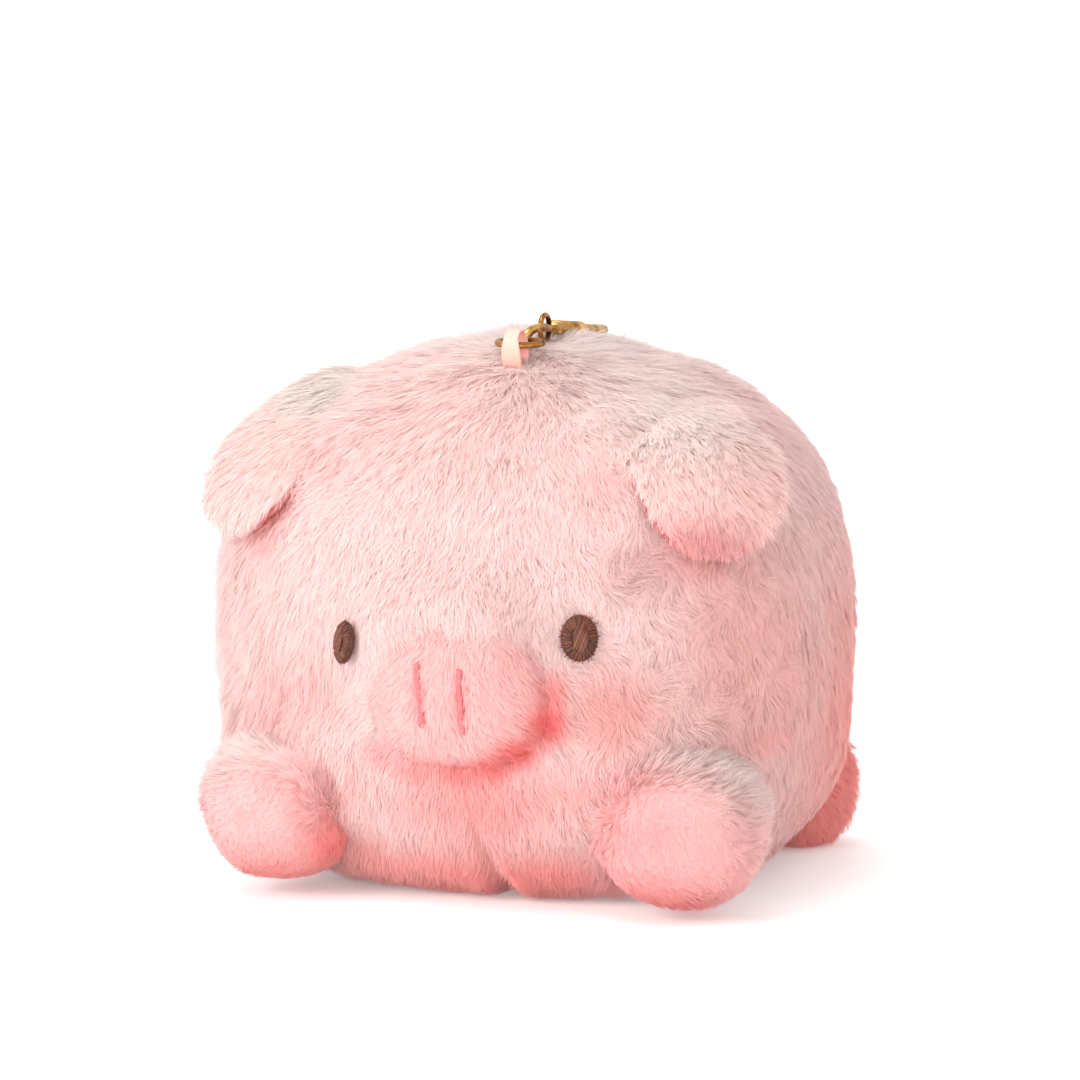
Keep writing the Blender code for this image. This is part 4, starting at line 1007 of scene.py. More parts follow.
# %% Where the body is bare
EYES = {"left": (0.0205, 0.0457), "right": (-0.0168, 0.0437)}


def inside_form(points, middle, size, power, grow_by=0.0):
    """True where a point is inside a rounded loaf, made larger or smaller."""
    local = abs(points - np.array(middle)) / (np.array(size) / 2 + grow_by)
    return (local**power).sum(axis=1) < 1


def eye_reach(points):
    """How far each point is from the nearer eye's middle, where 1 is the eye's rim."""
    near = np.full(len(points), 9.0)
    for x, z in EYES.values():
        far = np.hypot((points[:, 0] - x) / 0.0029, (points[:, 2] - z) / 0.0035)
        near = np.where(points[:, 1] < -0.03, np.minimum(near, far), near)
    return near


def body_keep(points, outward):
    """True where pile may grow; most of the underside, which is never seen, stays bare."""
    bare = inside_form(points, SNOUT_MIDDLE, SNOUT_SIZE, SNOUT_POWER, -1.2 * MM)
    bare |= eye_reach(points) < 0.95
    for _, sign in SIDES:
        for middle, size, splay in ((FORELEG_MIDDLE, FORELEG_SIZE, FORELEG_SPLAY),
                                    (HINDLEG_MIDDLE, HINDLEG_SIZE, HINDLEG_SPLAY)):
            local = in_leg(points, middle, splay, sign)
            bare |= inside_form(local, (0, 0, 0), size, LEG_POWER, -1.5 * MM)
    under = (outward[:, 2] < -0.9) & (rng.random(len(points)) > 0.25)
    return ~(bare | under)


# %% Which way the body's pile lies
WHORL = np.array((-1.0, -8.0, 84.0))  # mm


def body_lean(points):
    """The way the pile lies at each point."""
    x, y, z = points.T / MM
    none = 0 * x
    lean = unit(points / MM - WHORL)
    lean += np.column_stack((none, 0.15 * smooth_step(y, -20, 10), -0.6 * (1 - smooth_step(z, 50, 80))))
    # Away from the snout, below its middle
    near = np.exp(-(np.clip(snout_reach(points) - 1, 0, 9) * 2.2) ** 2)
    near = near * (y < -25) * (1 - smooth_step(z, 38, 48))
    lean += unit(points - np.array(SNOUT_MIDDLE)) * (1.1 * near)[:, None]
    # Away from the eyes, but over the outer rim of the right one
    for ex, ez in EYES.values():
        out = np.column_stack((x - ex / MM, none, z - ez / MM))
        pull = np.exp(-((np.hypot(out[:, 0], out[:, 2]) / 7.0) ** 2)) * (y < -25)
        over = -1.6 * smooth_step(-x, 17.0, 19.0) * (ex < 0)
        lean += unit(out + 1e-6) * (0.9 * pull * (1 + over))[:, None]
    # Away from the seam down the chin
    off_seam = points[:, 0] - chin_seam_x(points[:, 2])
    seam = groove(off_seam, 3 * MM) * (y < -30) * (1 - smooth_step(z, 16, 24))
    lean[:, 0] += 0.6 * seam * np.sign(off_seam)
    return lean


# %% [markdown]
# Pile is trimmed and worn unevenly. It is short round the eyes and the snout, on the forehead and
# on the left flank, long on the cheeks, the crest and the chin, and pressed flat under the rings
# and the clasp. Here too a sum of soft fields says how long it is, and another how steep.


# %% How long and how steep the body's pile is
def clasp_bed(points):
    """Near 1 on the strip of the crest that the rings and the clasp press flat."""
    x, y, z = points.T / MM
    strip = np.exp(-((x / 5.5) ** 4)) * smooth_step(y, -21, -17) * (1 - smooth_step(y, 21, 25))
    return strip * (z > 70)


def body_length(points):
    """How long the pile is at each point; the terms are in millimetres."""
    x, y, z = points.T / MM
    length = 4.3 - 1.2 * smooth_step(y, -28, -18) * smooth_step(x, 20, 40) * (1 - smooth_step(z, 60, 80))
    length -= 1.0 * smooth_step(x, 36, 46) * (1 - smooth_step(z, 10, 20)) * smooth_step(y, -30, -20)
    length += 1.0 * smooth_step(z, 60, 84) * smooth_step(-x, -34, 5)
    length += 1.5 * smooth_step(-x, 25, 45) * (y < 20)
    left_cheek = np.exp(-(((x - 40) / 13) ** 2 + ((z - 38) / 20) ** 2)) * (y < 0)
    length += 1.2 * left_cheek
    forehead = np.exp(-((x / 22) ** 2 + ((z - 60) / 18) ** 2)) * (y < -15)
    length -= 1.2 * forehead
    near_eye = np.exp(-((eye_reach(points) / 2.1) ** 2))
    length -= 3.0 * near_eye * (1 - 0.45 * smooth_step(-x, 17.6, 20) * (x < 0))
    near_snout = np.exp(-np.clip(snout_reach(points) - 1, 0, 9) * 5) * (y < -25)
    length -= 1.0 * near_snout * (1 - smooth_step(z, 40, 50))
    length += 1.0 * smooth_step(-z, -14, -5) * smooth_step(-y, 20, 40)
    length *= 1 - 0.24 * clasp_bed(points)
    return np.clip(length, 1.2, 9) * MM


def body_lift(points):
    """How steeply the pile stands at each point, in radians."""
    x, y, z = points.T / MM
    lift = 0.34 + 0.05 * wave_noise(points, 12 * MM, 3)
    lift -= 0.08 * smooth_step(y, -28, -18) * smooth_step(x, 20, 40)
    lift += 0.08 * smooth_step(z, 60, 84) * smooth_step(-x, -20, 5)
    lift -= 0.08 * smooth_step(z, 60, 80) * smooth_step(x, -2, 10)
    lift += 0.25 * smooth_step(-x, 25, 45) * (y < 20)
    lift += 0.10 * smooth_step(-z, -14, -5)
    lift -= 0.15 * clasp_bed(points)
    return lift


# %% [markdown]
# ### The body's pile
# One mesh would be too heavy for its file, so the pile is in ten pieces, five on each side. The
# face and the brow are seen close up, so their strands have one step more. The pile curls on the
# pig's left cheek, where it turns and gathers more.

# %% The body's pile
FINE, THICK, COARSE = 0.115 * MM, 0.12 * MM, 0.13 * MM  # widths of a strand
# Strands on a square millimetre
DENSITY = {"body": 14.0, "snout": 16.0, "foreleg": 14.0, "hindleg": 12.0, "ear": 16.0, "lining": 10.0,
           "tail": 7.0}
spots, outward = scatter(body_skin, DENSITY["body"], body_keep)
lift = body_lift(spots)
x, y, z = spots.T
curly = smooth_step(x, 0.008, 0.030) * smooth_step(-y, 0.015, 0.025) * (1 - smooth_step(z, 0.058, 0.070))
crest = smooth_step(z, 0.064, 0.078)
front = y < face_seam_y(z)
bands = {
    "brow": front & (z >= 0.046),
    "face": front & (z < 0.046),
    "flank": ~front & (z >= 0.018) & (z < 0.062),
    "back": ~front & (z >= 0.062),
    "belly": ~front & (z < 0.018),
}
for number, (band, side) in enumerate((band, side) for band in bands for side, _ in SIDES):
    part = bands[band] & ((x >= 0) == (side == "left"))
    here, curl = spots[part], curly[part]
    if band in ("brow", "face"):
        gather, stray, steps = (0.10 + 0.22 * curl) * (1 - 0.7 * crest[part]), 0.28, 3
    else:
        gather, stray, steps = 0.06, 0.16, 2
    grow(f"pile_{band}_{side}", PILE, "pig", here, outward[part], body_lean(here), body_length(here),
         lift[part], FINE, 100 + number, gather=gather, stray=stray, flow=0.16 + 0.5 * curl, steps=steps)

# %% [markdown]
# ### Pile on the snout
# The snout is sheared short, so its shape reads clearly. Its strands point down, and none
# grow in the two slits, because the embroidery lies there. None grow inside the body either: the
# same formula that made the body's form tells whether a point is inside it.

# %% The snout's pile
SLIT_HALF = 0.5 * MM


def outside_body(points, inset):
    """True where a point is outside the body's form, made smaller by the inset."""
    half = np.array((BODY_WIDTH, BODY_DEPTH, BODY_HEIGHT + FLAT)) / 2 - inset
    local = abs(points - np.array((0, 0, BODY_HEIGHT - (BODY_HEIGHT + FLAT) / 2))) / half
    plan, upper, lower = BODY_POWERS
    power = np.where(points[:, 2] >= BODY_HEIGHT / 2, upper, lower)
    flat = (local[:, 0] ** plan + local[:, 1] ** plan) ** (power / plan)
    return flat + local[:, 2] ** power > 1


spots, outward = scatter(snout_skin, DENSITY["snout"], lambda points, _: outside_body(points, 1 * MM))
x, _, z = (spots - np.array(SNOUT_MIDDLE)).T / MM
backward = 0.5 * smooth_step(-z, -4, 8) - 0.6 * smooth_step(z, 2, 9)
lean = np.column_stack((0.9 * x / 12, backward, np.full(len(spots), -0.7)))
slit = np.minimum(abs(spots[:, 0] - NOSTRIL_X), abs(spots[:, 0] + NOSTRIL_X)) < SLIT_HALF
slit &= abs(spots[:, 2] - NOSTRIL_Z) < 0.5 * NOSTRIL_TALL
slit &= outward[:, 1] < -0.5
spots, outward, lean = spots[~slit], outward[~slit], lean[~slit]
edge = 1 - np.clip(-outward[:, 1], 0, 1)
grow("pile_snout", SNOUT_PILE, "pig", spots, outward, lean, (2.0 + 1.6 * edge) * MM, 0.42,
     THICK, 200, gather=0.3, steps=2)

# %% [markdown]
# ### Pile on the legs
# The pads are sheared like the snout, and the cuffs behind them keep the long pile and stand out
# like a sleeve. One skin carries both, so the length is again a soft field: it rises behind the
# pad's seam, on the upper and outer side. Nothing grows where a leg rests on the table.


# %% The legs' pile
def on_leg(points, _):
    """True where a leg's pile may grow: outside the body and off the table."""
    return outside_body(points, 1 * MM) & (points[:, 2] > 0.6 * MM)


for number, (side, sign) in enumerate(SIDES):
    spots, outward = scatter(foreleg_skins[side], DENSITY["foreleg"], on_leg)
    local = in_leg(spots, FORELEG_MIDDLE, FORELEG_SPLAY, sign)
    behind = smooth_step(local[:, 1], -PAD_SEAM - 4.0 * MM, -PAD_SEAM + 1.0 * MM)
    high = smooth_step(spots[:, 2], 0.006, 0.016)
    outer = smooth_step(sign * local[:, 0], -0.004, 0.006)
    cuff = behind * np.maximum(high * 0.9, outer) * (0.3 + 0.7 * high)
    lean = np.column_stack((sign * (0.5 + 0.5 * cuff), 0.3 - 0.1 * cuff, -0.9 + 1.2 * cuff))
    low = 1 - smooth_step(spots[:, 2], 0.001, 0.006)
    length = (1.15 + 3.8 * cuff + 0.5 * low) * MM
    lift = 0.50 + 0.35 * cuff - 0.15 * low
    grow(f"pile_foreleg_{side}", PAD_PILE, "pig", spots, outward, lean, length, lift,
         THICK, 210 + number, gather=0.25, steps=2, flow=0.4, wave=0.25)
    spots, outward = scatter(hindleg_skins[side], DENSITY["hindleg"], on_leg)
    lean = np.tile((0.0, 0.5, -0.8), (len(spots), 1))
    grow(f"pile_hindleg_{side}", HINDLEG_PILE, "pig", spots, outward, lean, 3.6 * MM, 0.6,
         COARSE, 220 + number, steps=2)

# %% [markdown]
# ### Pile on the ears and the tail
# The ears' outer leaf has long pile. At the rim it runs past the cloth and makes a fringe,
# and at the root it turns into the coat of the head. The lining is velour. Each ear's pile rides
# on that ear, because the ear folds. The body's fields don't know the ears, so their strands are
# laid from the root to the tip, and spread more the nearer they are to the rim.


# %% Pile on the ears and the tail
EAR_HALF_WIDTH = 0.012


def on_ear(points, _):
    """True outside the body, where the pile of an ear or the tail may grow."""
    return outside_body(points, 0.5 * MM)


def facing_up(outward, sign):
    """How far an ear's cloth faces up and out; it is below 0 on the inner side."""
    return (outward * np.array((0.35 * sign, -0.35, 0.85))).sum(axis=1)


for number, (side, sign) in enumerate(SIDES):
    mirror = np.array((sign, 1, 1))
    root_line, tip_line = EAR_ROOT * mirror, EAR_TIP * mirror
    flow = unit(tip_line - root_line)
    spots, outward = scatter(ear_plush[side], DENSITY["ear"], on_ear)
    upper = facing_up(outward, sign) > -0.15
    spots, outward = spots[upper], outward[upper]
    # The lean: along the ear, past its rim, and down on the side next to the face
    from_middle = spots - (root_line + tip_line) / 2
    from_middle -= flow * (from_middle @ flow)[:, None]
    rim = np.linalg.norm(from_middle, axis=1) / EAR_HALF_WIDTH
    spread = from_middle / EAR_HALF_WIDTH * (0.25 + 0.45 * rim**2)[:, None]
    lean = flow + spread + np.array((0, 0, -0.2))
    inner = smooth_step(-sign * from_middle[:, 0], 0.004, 0.012)
    lean += np.array((-0.4 * sign, -0.1, -0.5)) * inner[:, None]
    # At the root the strands follow the head
    along = (spots - root_line) @ flow
    down = smooth_step(along, 0.010, 0.022)
    near_root = 1 - smooth_step(along, -0.002, 0.006)
    over_head = unit(spots * np.array((1 / 50**2, 1 / 45**2, 1 / 60**2)))
    outward = unit(outward * (1 - near_root)[:, None] + over_head * near_root[:, None])
    lean = unit(lean) * (1 - near_root)[:, None] + unit(spots - WHORL * MM) * near_root[:, None]
    # The back corner of the right ear stands up in a peak
    corner = np.linalg.norm(spots - EAR_BACK * mirror, axis=1)
    peak = groove(corner, 4.5 * MM) * (sign < 0)
    lean += peak[:, None] * np.array((0.5, 0.0, 0.6))
    length = (4.2 - 1.0 * down + 1.8 * peak + 0.9 * inner) * MM
    lift = 0.34 - 0.06 * down + 0.7 * peak
    grow(f"pile_ear_{side}", EAR_PILE, f"ear_{side}", spots, outward, lean, length, lift,
         THICK, 230 + number, gather=0.25, stray=0.22)
    spots, outward = scatter(ear_lining[side], DENSITY["lining"], on_ear)
    lower = facing_up(outward, sign) < 0.1
    spots, outward = spots[lower], outward[lower]
    lean = np.tile(flow, (len(spots), 1))
    grow(f"pile_ear_lining_{side}", LINING_PILE, f"ear_{side}", spots, outward, lean, 2.2 * MM, 0.6,
         THICK, 240 + number, steps=2)

spots, outward = scatter(tail_skin, DENSITY["tail"], on_ear)
lean = np.tile((0.2, 0.8, -0.4), (len(spots), 1))
grow("pile_tail", PILE, "pig", spots, outward, lean, 1.6 * MM, 0.6, THICK, 250, steps=2)

# %% [markdown]
# ## Embroidery
# Eyes and nostrils are machine embroidery: bunches of thread that lie side by side and cross. A
# bump on a flat patch would do from far off, but it wouldn't stand out of the fur, so each thread
# is a thin tube with closed ends. The helper below builds a whole bunch as one mesh, and keeps each
# thread's own tone as an attribute: tones differ at random, and on the eyes a few threads are painted
# pale as highlights.

# %% A bunch of threads
THREAD_SIDES = 6


def threads(name, paths, radius, tones):
    """Tubes along the given paths, each an array of points; the ends close to a tip."""
    verts, faces, marks, uvs = [], [], [], []
    cells = math.ceil(math.sqrt(len(paths)))
    turns = range(THREAD_SIDES)
    for number, (path, tone) in enumerate(zip(paths, tones)):
        path = np.asarray(path, float)
        way = unit(np.gradient(path, axis=0))
        side = unit(np.cross(way, np.array((0.31, 0.47, 0.83))))
        other = np.cross(way, side)
        first, steps = len(verts), len(path)
        column, row = number % cells, number // cells
        for step in range(steps):
            share = step / (steps - 1)
            thick = radius * min(1.0, 0.35 + 4 * share * (1 - share) * 1.6)
            for turn in turns:
                angle = 2 * math.pi * turn / THREAD_SIDES
                ring = side[step] * math.cos(angle) + other[step] * math.sin(angle)
                verts.append(path[step] + ring * thick)
                marks.append(tone)
        for step in range(steps - 1):
            for turn in turns:
                a = first + step * THREAD_SIDES + turn
                b = first + step * THREAD_SIDES + (turn + 1) % THREAD_SIDES
                faces.append((a, b, b + THREAD_SIDES, a + THREAD_SIDES))
                low, high = (step + 0.1) / steps, (step + 1.1) / steps
                left, right = (turn + 0.1) / (THREAD_SIDES + 0.2), (turn + 1.1) / (THREAD_SIDES + 0.2)
                for u, v in ((left, low), (right, low), (right, high), (left, high)):
                    uvs.append(((column + 0.05 + 0.9 * u) / cells, (row + 0.05 + 0.9 * v) / cells))
        for ends, place in ((range(first + THREAD_SIDES - 1, first - 1, -1), 0.06),
                            (range(len(verts) - THREAD_SIDES, len(verts)), 0.94)):
            faces.append(tuple(ends))
            uvs.extend([((column + place) / cells, (row + place) / cells)] * THREAD_SIDES)
    mesh = bpy.data.meshes.new(name)
    mesh.from_pydata([tuple(v) for v in verts], [], faces)
    store(mesh, "thread_tone", marks)
    mesh.uv_layers.new(name="OFBake").uv.foreach_set("vector", np.array(uvs, np.float32).ravel())
    form = bmesh.new()
    form.from_mesh(mesh)
    bmesh.ops.recalc_face_normals(form, faces=form.faces[:])
    form.to_mesh(mesh)
    form.free()
    item = add_object(name, mesh)
    choose(item)
    bpy.ops.object.shade_smooth()
    print(f"{name}: {len(paths)} threads, {len(faces)} faces")
    return item


# %% [markdown]
# ### Thread finish
# Embroidery thread is plied: fine slanting ridges run along it. A wave over the piece gives the
# ridges in the bump, and it also darkens the colour in their grooves and lightens it on their tops,
# as painted shade and light. The tone attribute makes some threads light and others nearly black.


# %% Thread material
def add_bump(tree, shader, height, strength, distance):
    """Let a height tilt the light on a surface, without a change of its shape."""
    bump = add_node(tree, "Bump", {"Strength": strength, "Distance": distance, "Height": height})
    feed(tree, shader, {"Normal": bump.outputs["Normal"]})


def thread_material(name, colour, rough, tone_low, tone_high):
    """Thread of one colour, darker and lighter by each thread's tone and by its ply's painted shade."""
    made, tree, shader = new_material(name)
    tone = add_node(tree, "Attribute", attribute_name="thread_tone").outputs["Fac"]
    span = add_node(tree, "MapRange", {"Value": tone, "To Min": tone_low, "To Max": tone_high})
    where = add_node(tree, "TexCoord")
    ply = add_node(tree, "TexWave", {"Vector": where.outputs["Object"], "Scale": 900, "Distortion": 2.0},
                   bands_direction="DIAGONAL").outputs["Fac"]
    painted_ply_shade = add_node(tree, "MapRange", {"Value": ply, "To Min": 0.82, "To Max": 1.1})
    both = add_node(tree, "Math", {0: span.outputs["Result"], 1: painted_ply_shade.outputs["Result"]},
                    operation="MULTIPLY")
    paint = add_node(tree, "VectorMath", operation="SCALE")
    feed(tree, paint, {0: colour, "Scale": both.outputs[0]})
    feed(tree, shader, {"Base Color": paint.outputs[0], "Roughness": rough, "Specular IOR Level": 0.35})
    add_bump(tree, shader, ply, 0.4, 0.1 * MM)
    return made


EYE_THREAD = thread_material("eye_thread_brown", srgb(112, 62, 44), 0.42, 0.30, 2.0)
NOSTRIL_THREAD = thread_material("nostril_thread_coral", srgb(216, 112, 117), 0.7, 0.8, 1.1)
print("thread materials:", EYE_THREAD.name, NOSTRIL_THREAD.name)

# %% [markdown]
# ### Eyes
# An eye is a low oval mound: short stitches run in from its rim like a fringe, and a second bunch
# lies slanting across the middle. A few threads are painted tan as highlights, where light would
# catch them. Each bunch is first drawn on a round eye, whose rim is at 1, and the real eye's size
# comes in later.

# %% Stitches of an eye
# The few tan threads and their tone are painted highlights.
RIM_THREADS, CROSS_THREADS, GLINT_THREADS = 74, 30, (9, 20)
# The mound's tone is darker than the threads', as painted shade between them.
RIM_TONE, CROSS_TONE, GLINT_TONE, MOUND_TONE = 0.26, 0.22, 0.9, 0.12
CROSS_SLANT, QUARTER_TURN = math.radians(62), 1.57


def rim_stitches(draw, on_eye):
    """Short threads from the rim inwards, each a little aslant."""
    paths, tones = [], []
    for number in range(RIM_THREADS):
        angle = 2 * math.pi * number / RIM_THREADS + draw.normal(0, 0.03)
        inner, outer = 0.42 + draw.normal(0, 0.05), 1.0 + draw.normal(0, 0.06)
        path = []
        for r in np.linspace(inner, outer, 5):
            swirl = angle + 0.25 * (1 - r)
            path.append(on_eye(r * math.cos(swirl), r * math.sin(swirl), 0.10 if r < 0.9 else -0.12))
        paths.append(path)
        tones.append(np.clip(RIM_TONE + draw.normal(0, 0.13), 0, 1))
    return paths, tones


def cross_stitches(draw, on_eye):
    """Longer threads side by side over the middle; they arch over the rim's."""
    paths, tones = [], []
    for number in range(CROSS_THREADS):
        offset = (number / (CROSS_THREADS - 1) * 2 - 1) * 0.60
        half = math.sqrt(max(0.02, 0.62**2 - offset**2)) * (1 + draw.normal(0, 0.08))
        path = []
        for t in np.linspace(-1, 1, 6):
            right = offset * math.cos(CROSS_SLANT) - t * half * math.sin(CROSS_SLANT - QUARTER_TURN)
            up = -offset * math.sin(CROSS_SLANT - 0.5) + t * half * math.cos(CROSS_SLANT - QUARTER_TURN)
            path.append(on_eye(right, up, 0.34 - 0.16 * t * t))
        paths.append(path)
        tones.append(GLINT_TONE if number in GLINT_THREADS else np.clip(CROSS_TONE + draw.normal(0, 0.12), 0, 1))
    return paths, tones


# %% [markdown]
# The two eyes differ a little, as embroidery does. An eye could be put in place by numbers, but
# after the filling nobody knows where the skin lies. A ray from in front finds the cloth and the
# way it faces, and the eye is laid on it. Under the threads, a closed mound hides the cloth; it is
# darker than the threads, as painted shade between them.

# %% Eyes
EYE_SIZES = {"left": (0.0063, 0.0078), "right": (0.0054, 0.0071)}
EYE_MOUND = 1.1 * MM
EYE_LIFT = 1.1  # mm, so the pile round the eye doesn't cover it
EYE_THREAD_RADIUS = 0.13 * MM


def surface_hit(item, x, z):
    """Where a ray from in front meets the item, and the way its surface faces there."""
    hit, place, normal, _ = item.ray_cast(Vector((x, -0.2, z)), Vector((0, 1, 0)))
    assert hit, f"nothing at {x}, {z}"
    return np.array(place), np.array(normal)


for side, sign in SIDES:
    draw = np.random.default_rng(31 + sign)
    wide, tall = EYE_SIZES[side]
    place, forward = surface_hit(body_skin, *EYES[side])
    aside = unit(np.cross(np.array((0, 0, 1.0)), forward))
    above = np.cross(forward, aside)
    place = place + forward * EYE_LIFT * MM

    def on_eye(right, up, raised):
        """A point of the round eye, laid on the mound and raised by this many millimetres."""
        rho = min(1.0, math.hypot(right, up))
        mound = EYE_MOUND * math.sqrt(max(0.0, 1 - rho**2 * 0.9)) + raised * MM
        return place + aside * right * wide / 2 + above * up * tall / 2 + forward * mound

    rim_paths, rim_tones = rim_stitches(draw, on_eye)
    cross_paths, cross_tones = cross_stitches(draw, on_eye)
    paths, tones = rim_paths + cross_paths, rim_tones + cross_tones
    bunch = threads(f"eye_stitches_{side}", paths, EYE_THREAD_RADIUS, tones)
    mound = rounded_form(f"eye_mound_{side}", (wide * 0.97, tall * 0.97, EYE_MOUND * 2), (2, 2, 2), 10)
    local = points_of(mound)
    set_points(mound, place + local[:, :1] * aside + local[:, 1:2] * above + local[:, 2:] * forward)
    store(mound.data, "thread_tone", np.full(len(local), MOUND_TONE))
    mound.data.uv_layers[0].name = "OFBake"
    for item in (mound, bunch):
        item.data.materials.append(EYE_THREAD)
    choose(mound, bunch)
    bpy.ops.object.join()
    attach(bunch, "pig")
    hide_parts(f"eye_embroidery_{side}")

# %% [markdown]
# ### Nostrils
# Each nostril is a line of overlapping upright stitches that has sunk into the snout. The one on
# the pig's right leans a little, as hand-guided stitching does. One thick tube would look like a
# stick, so thirteen short threads follow each other, each a little to one side. Every point of a
# thread is laid on the snout's cloth by a ray, and the ends dip into it.

# %% Nostril threads
NOSTRIL_THREAD_RADIUS = 0.40 * MM
STITCH_HALF = 0.13  # of the nostril's height
NOSTRILS = {"left": ((0.0038, 0.0412), (0.0043, 0.0304)), "right": ((-0.0035, 0.0421), (-0.0024, 0.0312))}
STITCHES = 13
for side, (top, bottom) in NOSTRILS.items():
    draw = np.random.default_rng(41 if side == "left" else 43)
    paths, tones = [], []
    for number in range(STITCHES):
        middle = (number + 0.5) / STITCHES
        start, end = max(0.0, middle - STITCH_HALF), min(1.0, middle + STITCH_HALF)
        shift = draw.normal(0, 0.16) * MM
        path = []
        for t in np.linspace(start, end, 6):
            x = top[0] + (bottom[0] - top[0]) * t + shift
            place, normal = surface_hit(snout_skin, x, top[1] + (bottom[1] - top[1]) * t)
            path.append(place + normal * (0.72 - 0.9 * abs((t - start) / (end - start) - 0.5)) * MM)
        paths.append(path)
        tones.append(np.clip(0.5 + draw.normal(0, 0.2), 0, 1))
    bunch = threads(f"nostril_stitches_{side}", paths, NOSTRIL_THREAD_RADIUS, tones)
    bunch.data.materials.append(NOSTRIL_THREAD)
    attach(bunch, "pig")
    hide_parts(f"nostril_stitch_{side}")

# %% [markdown]
# ## Ribbon
# A strip of satin ribbon is folded through the jump ring and caught in the top seam. The ring
# pinches it, so the fold is narrower than the foot. The strip could be a curve with a flat
# profile, but a flat grid that is bent along the loop can also be pinched and curled.

# %% Ribbon strip
RIBBON_SHARE = 0.75  # of the solid's width
RIBBON_TURN = math.radians(152)  # from the top of the fold to a foot
RIBBON_THICK = 0.36 * MM
low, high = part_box("ribbon_loop")
ribbon_y, ribbon_half = (low[1] + high[1]) / 2, (high[1] - low[1]) / 2
print("ribbon box, mm:", [round(v / MM, 1) for v in (*low, *high)])
choose()
bpy.ops.mesh.primitive_grid_add(x_subdivisions=14, y_subdivisions=56, size=2.0)
ribbon = bpy.context.object
ribbon.name = ribbon.data.name = "satin_ribbon"
flat = points_of(ribbon)
turn = flat[:, 1] * RIBBON_TURN
arc_middle = high[2] - ribbon_half
over = np.cos(turn) > 0
reach_z = np.where(over, ribbon_half, arc_middle - low[2] + 0.4 * MM)
pinch = 0.72 + 0.28 * smooth_step(abs(turn), 0.9, 2.2)
across = flat[:, 0] * (high[0] - low[0]) / 2 * pinch * RIBBON_SHARE + 0.5 * MM
curl = 0.25 * MM * flat[:, 0] ** 2 * np.cos(turn)
waist = np.where(over, 1.0, 0.55 + 0.45 * abs(np.sin(turn)))
along = ribbon_y + np.sin(turn) * (ribbon_half - 0.22 * MM) * waist
up = arc_middle - 0.2 * MM + np.cos(turn) * (reach_z - 0.1 * MM) - curl
set_points(ribbon, np.column_stack((across, along, up)))
modify(ribbon, "SOLIDIFY", thickness=RIBBON_THICK, offset=0.0)
bpy.ops.object.shade_smooth()
print("ribbon:", len(ribbon.data.polygons), "faces")

# %% [markdown]
# Satin is woven of fine threads that run side by side. They are far too thin for a mesh, so a wave
# makes ribs in the bump, and a soft cloud between two near colours stands for uneven dye.


# %% Ribbon finish
def add_ramp(tree, factor, low, high):
    """A blend between two colours, each given with its position."""
    ramp = add_node(tree, "ValToRGB", {"Fac": factor})
    for element, (position, colour) in zip(ramp.color_ramp.elements, (low, high)):
        element.position = position
        element.color = (*colour, 1)
    return ramp.outputs["Color"]


made, tree, shader = new_material("satin_ribbon_peach")
where = add_node(tree, "TexCoord").outputs["Object"]
ribs = add_node(tree, "TexWave", {"Vector": where, "Scale": 1100, "Distortion": 0.6}, bands_direction="X")
cloud = add_node(tree, "TexNoise", {"Vector": where, "Scale": 420})
shades = add_ramp(tree, cloud.outputs["Fac"], (0.0, srgb(228, 160, 146)), (1.0, srgb(240, 186, 172)))
feed(tree, shader, {"Base Color": shades, "Roughness": 0.55, "Sheen Weight": 0.05})
add_bump(tree, shader, ribs.outputs["Fac"], 0.35, 0.1 * MM)
ribbon.data.materials.append(made)
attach(ribbon, "pig")
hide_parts("ribbon_loop")
print("ribbon finish:", made.name)

# %% [markdown]
# ## Brass
# The rings and the clasp are stamped and bent from brass, then plated. The plating is brown where
# it has worn, and the dark reflections of polished metal are painted into it as brown too; it is
# pale where it shines. One noise gives both: where it is low the metal is darker and duller, so the
# colour and the shine change together.


# %% Brass finish
def brass_material(name, bright_colour, worn_and_dark_reflection_colour, rough):
    """Metal that is duller and darker where a cloud of noise is low, as wear and painted dark reflection."""
    made, tree, shader = new_material(name)
    where = add_node(tree, "TexCoord").outputs["Object"]
    cloud = add_node(tree, "TexNoise", {"Vector": where, "Scale": 380, "Detail": 4}).outputs["Fac"]
    shades = add_ramp(tree, cloud, (0.35, worn_and_dark_reflection_colour), (0.62, bright_colour))
    matt = add_node(tree, "MapRange", {"Value": cloud, "To Min": rough + 0.16, "To Max": rough - 0.04})
    feed(tree, shader, {"Base Color": shades, "Metallic": 1.0, "Roughness": matt.outputs["Result"]})
    fine = add_node(tree, "TexNoise", {"Vector": where, "Scale": 2600})
    add_bump(tree, shader, fine.outputs["Fac"], 0.25, 0.05 * MM)
    return made


BRASS = brass_material("plated_brass", srgb(222, 176, 104), srgb(134, 88, 46), 0.24)
# The rings' copy is darker all over, as painted shade and dark reflection on them.
DARKER_BRASS = brass_material("brass_worn_and_painted_dark", srgb(196, 140, 78), srgb(96, 60, 34), 0.28)
print("brass:", BRASS.name, DARKER_BRASS.name)

# %% [markdown]
# The CAD shapes of the pieces are right but made of flat facets, and metal shows each facet as a
# strip of light. They could be modelled again, but a copy whose points are merged keeps the place
# and the size. The rings are rounded by a subdivision surface. The clasp is flat and has sharp
# outlines, so only its edges are bevelled.


